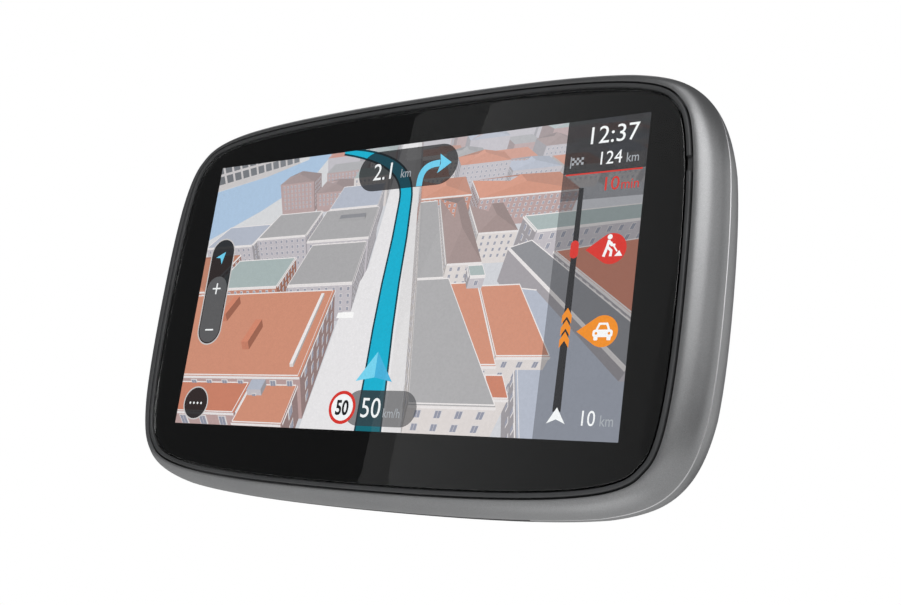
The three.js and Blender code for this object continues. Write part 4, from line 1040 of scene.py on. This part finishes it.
def right_bank(city):
    """The long grey roof right of the street, then coral, lilac and dark roofs."""
    house(city, spots((10.5, 57), (38, 57), (27.5, 118), (11.5, 118)), 17, SLATE,
          WALL_CREAM, wide=3.2)
    block_house(city, 11.5, 25, 118, 210, 17, SLATE, WALL_CREAM)
    block_house(city, 27, 45, 128, 210, 18, UMBER, WALL_CREAM, rise=6)
    block_house(city, 28, 41.5, 72, 116, 15.5, TERRACOTTA, WALL_CREAM, wide=2.6)
    block_house(city, 42.5, 61, 76, 114, 15, TERRACOTTA, WALL_CREAM, wide=2.6)
    block_house(city, 38, 44, 62, 70, 13.5, CORAL, WALL_CREAM, windows=False)
    block_house(city, 36, 43, 112, 120, 21.5, SEA_GREEN, WALL_GREY, base=15, wide=2.4)
    house(city, spots((45, 49), (150, 30), (165, 95), (62, 120)), 9, LILAC, WALL_GREY,
          wide=2.6)
    house(city, spots((84, 72), (102, 72), (78, 152), (64, 146)), 14, DARK_SLATE,
          WALL_GREY, windows=False)
    house(city, spots((104, 76), (170, 90), (150, 150), (86, 140)), 14, CORAL, WALL_GREY)
    house(city, spots((80, 154), (150, 160), (148, 176), (78, 172)), 18, SEA_GREEN,
          WALL_GREY, wide=3.0)
    block_house(city, 50, 74, 164, 204, 14, UMBER, WALL_CREAM, rise=5)
    block_house(city, 12, 52, 216, 256, 17, TERRACOTTA, WALL_BRICK, rise=4)
    block_house(city, 58, 130, 212, 250, 15, TERRACOTTA, WALL_PINK, rise=5)


def far_houses(city, dice):
    """Rows of smaller houses that thin out towards the horizon."""
    row = 268.0
    while row < 900:
        deep = 30 + row / 28
        for side in (-1, 1):
            x = 22.0 if side < 0 else 12.5
            while x < 620:
                wide = dice.uniform(20, 40) * (1 + row / 1200)
                x0, x1 = (-x - wide, -x) if side < 0 else (x, x + wide)
                if not near_river((x0 + x1) / 2, row + deep / 2, wide / 2 + 8):
                    roof = dice.choice([TERRACOTTA, CORAL, SLATE, LILAC, SEA_GREEN, UMBER])
                    side_colour = dice.choice([WALL_GREY, WALL_CREAM, WALL_PINK])
                    back = row + deep * dice.uniform(0.6, 0.92)
                    block_house(city, x0, x1, row, back, dice.uniform(11, 24), roof, side_colour,
                          rise=dice.choice([0, 0, 4, 6]), parapet=False)
                x += wide + dice.uniform(2, 9)
        row += deep + 4


RIVER_LOWER = [(-300, 60), (-235, 100), (-188, 214), (-165, 270), (-150, 330), (-141, 388), (-150, 520),
               (-250, 700)]
RIVER_UPPER = [(-330, 760), (-215, 560), (-185, 470), (-226, 398), (-278, 352), (-420, 260), (-620, 180)]


def near_river(x, y, margin):
    """True on the river, on its far bank, and left of its near bank."""
    for (ax, ay), (bx, by) in zip(RIVER_LOWER, RIVER_LOWER[1:]):
        if ay <= y <= by:
            return x - margin < ax + (bx - ax) * (y - ay) / (by - ay)
    return x < -250


def far_bank(city):
    """A long pale hall beyond the river, with a dark colonnade under a terracotta roof."""
    near, far = Vector((-350, 330)), Vector((-196, 455))
    along = (far - near).normalized()
    back = Vector((-along.y, along.x)) * 46
    house(city, [near, far, far + back, near + back], 30, TERRACOTTA, WALL_CREAM, windows=False)
    out = Vector((along.y, -along.x)) * 0.4
    bays = 17
    for i in range(bays):
        start = near + (far - near) * ((i + 0.12) / bays) + out
        end = near + (far - near) * ((i + 0.88) / bays) + out
        for low, high in ((2, 12), (15, 27)):
            wall(city, start, end, low, high, tinted((30, 36, 40)))


def draw_city():
    city = City()
    city.ground([(-1500, 20), (1500, 20), (1500, 3500), (-1500, 3500)], GROUND, srgb(206, 205, 208))
    quay = [(-620, 60), (-100, 60), (-100, 3000), (-1400, 3000), (-1400, 60)]
    city.ground(quay, GROUND + 0.5, srgb(224, 222, 220))
    city.ground(RIVER_LOWER + RIVER_UPPER, 0.0, srgb(160, 192, 224))
    street = [(-30, 22), (10.5, 22), (11, 118), (11.5, 900), (-20, 900), (-20, 158), (-29, 112)]
    city.ground(street, 0.0, srgb(236, 232, 233))
    city.ground([(4, 22), (10.5, 22), (11, 118), (11.5, 700), (6, 700)], 0.8, srgb(226, 222, 222))
    city.ground([(-30, 112), (-20.5, 112), (-20.5, 116), (-30, 116)], 1.2, srgb(250, 248, 248))
    left_foreground(city)
    left_bank(city)
    right_bank(city)
    far_bank(city)
    far_houses(city, random.Random(11))
    return city.mesh()


LAYER_STEP = 0.006
LAYER_THICKNESS = 0.004
SCREEN_STRENGTH = 1.14
BAR_LEFT = 38.3
TIME_BOTTOM = 20.2
DELAY_BOTTOM = 14.8
ROUTE_START = -31.2
MENU_SPOT = (-49.9, -26.4)
LIMIT_SPOT = (-7.2, -26.4)
MARKER_X = 50.2
MARKER_RADIUS = 3.0
MARKER_TIP_X = 44.9


def screen_light(name, tone=None, alpha=1.0, grain=0.9):
    """Light from the display: a plain colour or the mesh's own tones, with a faint pixel-scale unevenness."""
    light = Shader(name, Roughness=0.5, Specular_IOR_Level=0.0, Alpha=alpha,
                   Emission_Strength=SCREEN_STRENGTH)
    light.surface.inputs["Base Color"].default_value = (0, 0, 0, 1)
    unevenness = light.ramp(light.noise(0.5, detail=3.0), [(0.3, (grain,) * 3), (0.7, (1, 1, 1))])
    if tone is None:
        source = light.nodes.new("ShaderNodeVertexColor")
        source.layer_name = "tone"
        colour = source.outputs["Color"]
    else:
        colour = (*tone, 1)
    light.feed("Emission Color", light.blended(1.0, colour, unevenness, "MULTIPLY"))
    return light.material


def glow(name, *channels, alpha=1.0):
    return screen_light(name, tone=srgb(*channels), alpha=alpha)


def show(name, mesh, material):
    piece = finished(name, mesh, material)
    return piece


def plate(outline, layer):
    """A thin closed plate of a flat outline on the display, at a layer counted from the glass."""
    depth = GLASS_BACK + LAYER_STEP * layer
    return prism([Vector((p.x, p.y + DISPLAY_Z)) for p in outline], depth, depth + LAYER_THICKNESS)


def capsule(x0, x1, z0, z1, layer, radius=None):
    return plate(rounded_rectangle(x0, x1, z0, z1, radius or min(x1 - x0, z1 - z0) / 2 - HAIR), layer)


def stroke(points, widths, layer):
    """A band along a chain of points, with its own width at each."""
    left, right = [], []
    for i, point in enumerate(points):
        along = (points[min(i + 1, len(points) - 1)] - points[max(i - 1, 0)]).normalized()
        across = Vector((-along.y, along.x)) * widths[i] / 2
        left.append(point + across)
        right.append(point - across)
    return plate(left + right[::-1], layer)


def rim(outer, inner, layer):
    """A thin closed line between two outlines of equal counts."""
    lifted = [[Vector((p.x, p.y + DISPLAY_Z)) for p in outline] for outline in (outer, inner)]
    near = GLASS_BACK + LAYER_STEP * layer
    far = near + LAYER_THICKNESS
    return skin([(lifted[0], near), (lifted[1], near), (lifted[1], far), (lifted[0], far)], looped=True)


def flat_shape(corners, layer):
    return plate([Vector(c) for c in corners], layer)


def digits(text, x, z, height, layer, squeeze=0.86, bold=0.0):
    """Plain numerals of that height, standing on z."""
    curve = bpy.data.curves.new("numerals", "FONT")
    curve.body = text
    curve.size = height / 0.7 * MM
    curve.align_x = "CENTER"
    curve.offset = bold * MM
    curve.extrude = 0.002 * MM
    curve.resolution_u = 4
    item = bpy.data.objects.new("numerals", curve)
    bpy.context.scene.collection.objects.link(item)
    mesh = baked(item)
    bpy.data.objects.remove(item)
    turn = Matrix.Rotation(math.pi / 2, 4, "X") @ Matrix.Diagonal((squeeze, 1, 1, 1))
    mesh.transform(Matrix.Translation(place(x, GLASS_BACK + LAYER_STEP * layer, z + DISPLAY_Z)) @ turn)
    return mesh


def route_points():
    straight = spots((0.25, -31.2), (0.3, -20), (0.25, -10), (0.5, 0), (1.1, 10))
    bend = bezier(*spots((1.2, 18), (1.3, 24), (-3.0, 28.6), (-17.5, 31.2)), 14)
    return straight + bend


def route_widths():
    points = route_points()
    widths = [6.1 - 3.6 * min(1.0, (p.y - ROUTE_START) / 52.0) for p in points]
    return [width * min(1.0, 1.0 + point.x / 26) for width, point in zip(widths, points)]


def draw_route():
    points = route_points()
    show("route_edge", stroke(points, [w + 0.9 for w in route_widths()], 7),
         glow("route_edge_light", 14, 62, 74))
    show("route_line", stroke(points, route_widths(), 6), glow("route_light", 24, 176, 208))
    show("route_shade", stroke([points[0], Vector((0.3, -22.7))], [6.1, 5.5], 5.6),
         glow("route_shade_light", 14, 104, 118))
    apex, left, right, notch = (0.0, -14.6), (-4.7, -20.8), (4.6, -20.9), (0.0, -20.0)
    show("cursor_left", flat_shape([apex, left, notch], 5), glow("cursor_light", 120, 212, 240))
    show("cursor_right", flat_shape([apex, notch, right], 5),
         glow("cursor_shade_light", 72, 178, 220))


def draw_panels():
    half_width = DISPLAY_WIDTH / 2
    half_height = DISPLAY_HEIGHT / 2
    dark = glow("panel_dark", 28, 30, 33, alpha=0.82)
    deep = glow("panel_deep", 26, 27, 30, alpha=0.66)
    smoky = glow("panel_smoky", 52, 54, 58, alpha=0.5)
    veil = glow("panel_veil", 48, 50, 56, alpha=0.3)
    show("route_bar", plate(rectangle(BAR_LEFT, half_width, -half_height, half_height), 5), veil)
    show("time_panel", joined([
        plate(rectangle(BAR_LEFT, half_width, TIME_BOTTOM, half_height), 4),
        capsule(-12.5, 13.3, 21.0, 30.1, 4),
    ]), deep)
    show("delay_panel", plate(rectangle(BAR_LEFT, half_width, DELAY_BOTTOM, TIME_BOTTOM - 0.1), 4), veil)
    buttons = [capsule(-53.4, -46.3, -12.6, 12.7, 4), plate(circle(*MENU_SPOT, 3.6), 4)]
    show("control_panels", joined(buttons), dark)
    show("control_rims", joined([
        rim(circle(*MENU_SPOT, 3.85), circle(*MENU_SPOT, 3.55), 3.2),
        rim(rounded_rectangle(-53.6, -46.1, -12.8, 12.9, 3.74),
            rounded_rectangle(-53.3, -46.4, -12.5, 12.6, 3.44), 3.2),
    ]), glow("rim_light", 204, 200, 200))
    show("speed_panel", capsule(-6.5, 11.6, -30.1, -22.7, 4), smoky)
    show("zoom_lower", capsule(-53.0, -46.7, -12.2, 3.6, 3), glow("zoom_lower_light", 98, 98, 100, alpha=0.6))


def draw_symbols():
    white = glow("white_light", 246, 247, 248)
    grey = glow("grey_light", 168, 172, 178)
    red = glow("red_light", 214, 52, 44)
    orange = glow("orange_light", 240, 142, 36)
    sky = glow("sky_light", 112, 206, 238)
    black = glow("black_light", 24, 24, 26)
    show("clock_numerals", joined([
        digits("12:37", 48.0, 26.0, 3.55, 2, squeeze=0.98),
        digits("124", 47.9, 21.6, 2.65, 2, squeeze=0.92),
        digits("2.1", -5.6, 23.5, 3.8, 2, squeeze=0.9),
        digits("50", 0.2, -28.3, 4.1, 2, squeeze=0.9),
        digits("10", 48.9, -28.4, 2.8, 2),
    ]), white)
    show("unit_numerals", joined([
        digits("km", 52.6, 21.6, 1.9, 2, squeeze=0.8),
        digits("km", 0.3, 23.5, 2.0, 2, squeeze=0.8),
        digits("km/h", 5.6, -28.2, 1.9, 2, squeeze=0.8),
        digits("km", 52.8, -28.4, 2.0, 2, squeeze=0.8),
    ]), grey)
    show("delay_numerals", joined([
        digits("10", 48.6, 16.3, 2.7, 2, squeeze=1.0),
        digits("min", 52.6, 16.3, 2.0, 2, squeeze=0.9),
        plate(rectangle(38.9, 54.8, 19.9, TIME_BOTTOM), 2),
    ]), red)
    show("limit_sign_rim", plate(circle(*LIMIT_SPOT, 3.5), 3), red)
    show("limit_sign_face", plate(circle(*LIMIT_SPOT, 2.8), 2), white)
    show("limit_numerals", digits("50", -7.2, -27.9, 3.0, 1, squeeze=0.8, bold=0.12), black)
    turn = bezier(*spots((4.2, 21.1), (4.0, 24.6), (5.4, 25.9), (8.8, 25.8)), 12)
    show("turn_arrow", joined([
        stroke(turn, [1.5] * len(turn), 2),
        flat_shape([(8.6, 27.9), (11.7, 25.7), (8.4, 23.6), (9.0, 25.7)], 3),
        flat_shape([(-51.9, 8.3), (-49.0, 9.6), (-49.8, 6.6), (-50.4, 8.1)], 2),
    ]), sky)
    show("zoom_signs", joined([
        capsule(-51.2, -48.6, 0.5, 0.85, 2), capsule(-50.1, -49.7, -0.7, 2.0, 2),
        capsule(-51.2, -48.6, -9.4, -9.05, 2),
        *[plate(circle(MENU_SPOT[0] + 1.15 * k, MENU_SPOT[1], 0.27, 16), 2) for k in (-1.5, -0.5, 0.5, 1.5)],
        flat_shape([(42.7, -25.2), (44.6, -28.2), (42.7, -27.4), (40.8, -28.2)], 2),
    ]), white)
    show("bar_track", flat_shape([(42.1, 17.2), (43.1, 17.2), (43.5, -26.0), (41.8, -26.0)], 3),
         glow("track_light", 44, 44, 47))
    show("bar_red", joined([
        capsule(41.7, 43.4, 3.2, 6.7, 2), teardrop(4.7),
    ]), red)
    show("bar_orange", joined([teardrop(-11.0)] + [
        flat_shape([(42.6, z + 2.2), (43.6, z + 0.7), (43.6, z - 0.9), (42.6, z + 0.5), (41.6, z - 0.9),
                    (41.6, z + 0.7)], 2) for z in (-8.6, -10.9, -13.2)
    ]), orange)
    show("marker_signs", joined([
        plate(circle(49.7, 7.0, 0.5, 16), 0.9),
        *[stroke([Vector(a), Vector(b), Vector(c)], [0.55] * 3, 0.9) for a, b, c in (
            ((49.6, 6.4), (49.3, 5.0), (48.7, 3.2)), ((49.3, 5.1), (50.2, 4.3), (50.1, 3.2)),
            ((49.6, 6.1), (50.2, 5.4), (50.9, 5.3)))],
        stroke(spots((50.0, 6.0), (51.4, 4.1)), [0.28, 0.28], 0.9),
        flat_shape([(50.9, 3.2), (52.5, 3.2), (51.8, 4.3)], 0.9),
        capsule(48.2, 52.2, -12.1, -10.7, 0.9, radius=0.5),
        flat_shape([(48.7, -10.8), (51.7, -10.8), (51.1, -9.4), (49.3, -9.4)], 0.9),
        capsule(48.5, 49.3, -12.7, -11.7, 0.9, radius=0.2),
        capsule(51.1, 51.9, -12.7, -11.7, 0.9, radius=0.2),
    ]), white)
    show("car_window", joined([
        flat_shape([(49.2, -10.7), (51.2, -10.7), (50.8, -9.8), (49.6, -9.8)], 0.4),
        plate(circle(48.9, -11.4, 0.27, 12), 0.4), plate(circle(51.5, -11.4, 0.27, 12), 0.4),
    ]), orange)
    show("finish_flag", joined([
        plate(rectangle(39.6, 39.8, 21.4, 23.8), 2),
        *[plate(rectangle(39.9 + 0.5 * i, 40.4 + 0.5 * i, 23.0 - 0.5 * j, 23.5 - 0.5 * j), 2)
          for i in range(5) for j in range(3) if (i + j) % 2 == 0],
    ]), grey)


def teardrop(z):
    """A round marker at a height on the display, with a tip that points at the bar."""
    start = math.acos(MARKER_RADIUS / (MARKER_X - MARKER_TIP_X))
    arc = [Vector((MARKER_X - MARKER_RADIUS * math.cos(a), z + MARKER_RADIUS * math.sin(a)))
           for a in (start + (2 * math.pi - 2 * start) * i / 30 for i in range(31))]
    return plate(arc + [Vector((MARKER_TIP_X, z))], 2)


# ---------- studio ----------

CAMERA_PLACE = (0.141405, -0.188904, -0.058674)
CAMERA_AZIMUTH = math.radians(35.434)
CAMERA_ELEVATION = math.radians(-12.496)
CAMERA_ROLL = math.radians(7.939)
FLOOR_RADIUS = 0.42
FLOOR_HEIGHT = -0.11
# Centre and radius of the painted pool of light in the floor's glow.
LIGHT_POOL_CENTRE = (0.045, 0.0)
LIGHT_POOL_RADIUS = 0.07
SHEEN_CENTRE = (-0.2648, -0.6, 0.175)
SHEEN_ROLL = -math.radians(6.24)
# Each panel that faces the object: its centre, width, height and radiance.
SOFT_PANELS = {
    "key_right": ((0.42, -0.5, 0.34), 0.75, 0.36, 1.9),
    "side_right": ((0.8, 0.05, 0.3), 0.6, 0.5, 0.5),
    "back_right": ((0.5, 0.72, 0.16), 0.7, 0.7, 0.5),
    "overhead": ((0.25, -0.3, 0.8), 0.5, 0.5, 0.7),
    "back_high": ((-0.5, 0.5, 0.55), 0.6, 0.5, 0.8),
}


def soft_panel(name, centre, target, width, height, radiance, roll=0.0):
    """A glowing panel that faces the target; radiance is what a mirror would show of it."""
    lamp = bpy.data.lights.new(name, "AREA")
    lamp.shape = "RECTANGLE"
    lamp.size = width
    lamp.size_y = height
    lamp.energy = radiance * math.pi * width * height
    item = bpy.data.objects.new(name, lamp)
    facing = (Vector(target) - Vector(centre)).normalized()
    item.rotation_mode = "QUATERNION"
    item.rotation_quaternion = facing.to_track_quat("-Z", "Y") @ Matrix.Rotation(roll, 4, "Z").to_quaternion()
    item.location = centre
    item.visible_camera = False
    bpy.context.scene.collection.objects.link(item)
    return item


def fade_panel(item, stops):
    """Makes a panel's glow change across its width."""
    lamp = item.data
    lamp.use_nodes = True
    nodes, links = lamp.node_tree.nodes, lamp.node_tree.links
    across = nodes.new("ShaderNodeSeparateXYZ")
    links.new(nodes.new("ShaderNodeNewGeometry").outputs["Parametric"], across.inputs["Vector"])
    ramp = nodes.new("ShaderNodeValToRGB")
    set_stops(ramp, [(position, (level, level, level)) for position, level in stops])
    links.new(across.outputs["X"], ramp.inputs["Fac"])
    links.new(ramp.outputs["Color"], nodes["Emission"].inputs["Color"])


def studio_world():
    """White behind the object, with a dim surround for what the surfaces mirror."""
    world = bpy.data.worlds.new("studio")
    bpy.context.scene.world = world
    world.use_nodes = True
    nodes, links = world.node_tree.nodes, world.node_tree.links
    seen = nodes["Background"]
    seen.inputs["Color"].default_value = (1, 1, 1, 1)
    surround = nodes.new("ShaderNodeBackground")
    surround.inputs["Color"].default_value = (0.085, 0.086, 0.088, 1)
    mix = nodes.new("ShaderNodeMixShader")
    links.new(nodes.new("ShaderNodeLightPath").outputs["Is Camera Ray"], mix.inputs["Fac"])
    links.new(surround.outputs["Background"], mix.inputs[1])
    links.new(seen.outputs["Background"], mix.inputs[2])
    links.new(mix.outputs["Shader"], nodes["World Output"].inputs["Surface"])


def studio_floor():
    shell = bmesh.new()
    bmesh.ops.create_circle(shell, cap_ends=True, segments=96, radius=FLOOR_RADIUS)
    mesh = bpy.data.meshes.new("studio_floor")
    shell.to_mesh(mesh)
    shell.free()
    floor = bpy.data.objects.new("studio_floor", mesh)
    floor.location = (0, 0, FLOOR_HEIGHT)
    bpy.context.scene.collection.objects.link(floor)
    # The floor glows: a faint even glow plus a painted pool of light under the object, which the case's
    # underside mirrors as a highlight.
    pale = Shader("pale_floor", Roughness=0.7, Emission_Strength=1.0)
    pale.toned(pale.noise(40.0), 0.3, (0.8, 0.8, 0.8), 0.7, (0.84, 0.84, 0.84))
    pool = pale.nodes.new("ShaderNodeMapping")
    pool.inputs["Location"].default_value = (-LIGHT_POOL_CENTRE[0] / LIGHT_POOL_RADIUS, -LIGHT_POOL_CENTRE[1] / LIGHT_POOL_RADIUS, 0)
    pool.inputs["Scale"].default_value = (1 / LIGHT_POOL_RADIUS, 1 / LIGHT_POOL_RADIUS, 1)
    pale.links.new(pale.place, pool.inputs["Vector"])
    ball = pale.nodes.new("ShaderNodeTexGradient")
    ball.gradient_type = "QUADRATIC_SPHERE"
    pale.links.new(pool.outputs["Vector"], ball.inputs["Vector"])
    glow_stops = [(0.0, (0.17, 0.17, 0.17)), (0.6, (0.5, 0.5, 0.5))]
    pale.feed("Emission Color", pale.ramp(ball.outputs["Fac"], glow_stops))
    mesh.materials.append(pale.material)


def studio_lights():
    for name, (centre, width, height, radiance) in SOFT_PANELS.items():
        soft_panel(name, centre, (0, 0, 0), width, height, radiance)
    straight_behind = (SHEEN_CENTRE[0], 0, SHEEN_CENTRE[2])
    sheen = soft_panel("glass_sheen", SHEEN_CENTRE, straight_behind, 0.34, 0.6, 0.37, roll=SHEEN_ROLL)
    fade_panel(sheen, [(0.0, 1.0), (0.5, 0.5), (1.0, 0.2)])


def camera():
    """Stands low on the right and looks up at the front."""
    flat = math.cos(CAMERA_ELEVATION)
    back = Vector((math.sin(CAMERA_AZIMUTH) * flat, -math.cos(CAMERA_AZIMUTH) * flat,
                   math.sin(CAMERA_ELEVATION)))
    level = (-back).cross(Vector((0, 0, 1))).normalized()
    upright = level.cross(-back)
    right = level * math.cos(CAMERA_ROLL) + upright * math.sin(CAMERA_ROLL)
    up = upright * math.cos(CAMERA_ROLL) - level * math.sin(CAMERA_ROLL)
    lens = bpy.data.cameras.new("camera")
    lens.sensor_width = 36.0
    lens.lens = 45.417
    lens.shift_x = 0.01724
    lens.shift_y = 0.0372
    lens.clip_start = 0.01
    item = bpy.data.objects.new("camera", lens)
    turn = Matrix((right, up, back)).transposed().to_4x4()
    item.matrix_world = Matrix.Translation(CAMERA_PLACE) @ turn
    bpy.context.scene.collection.objects.link(item)
    bpy.context.scene.camera = item


camera()
studio_world()
studio_floor()
studio_lights()
bpy.context.scene.view_settings.view_transform = "Standard"

finish_cad_nodes()
case_front()
bezel_band()
front_glass()
glass_print()
case_back()
dock_cup()
sound_grille()
power_key()
show("city_map", draw_city(), screen_light("city_light", grain=0.93))
draw_route()
draw_panels()
draw_symbols()
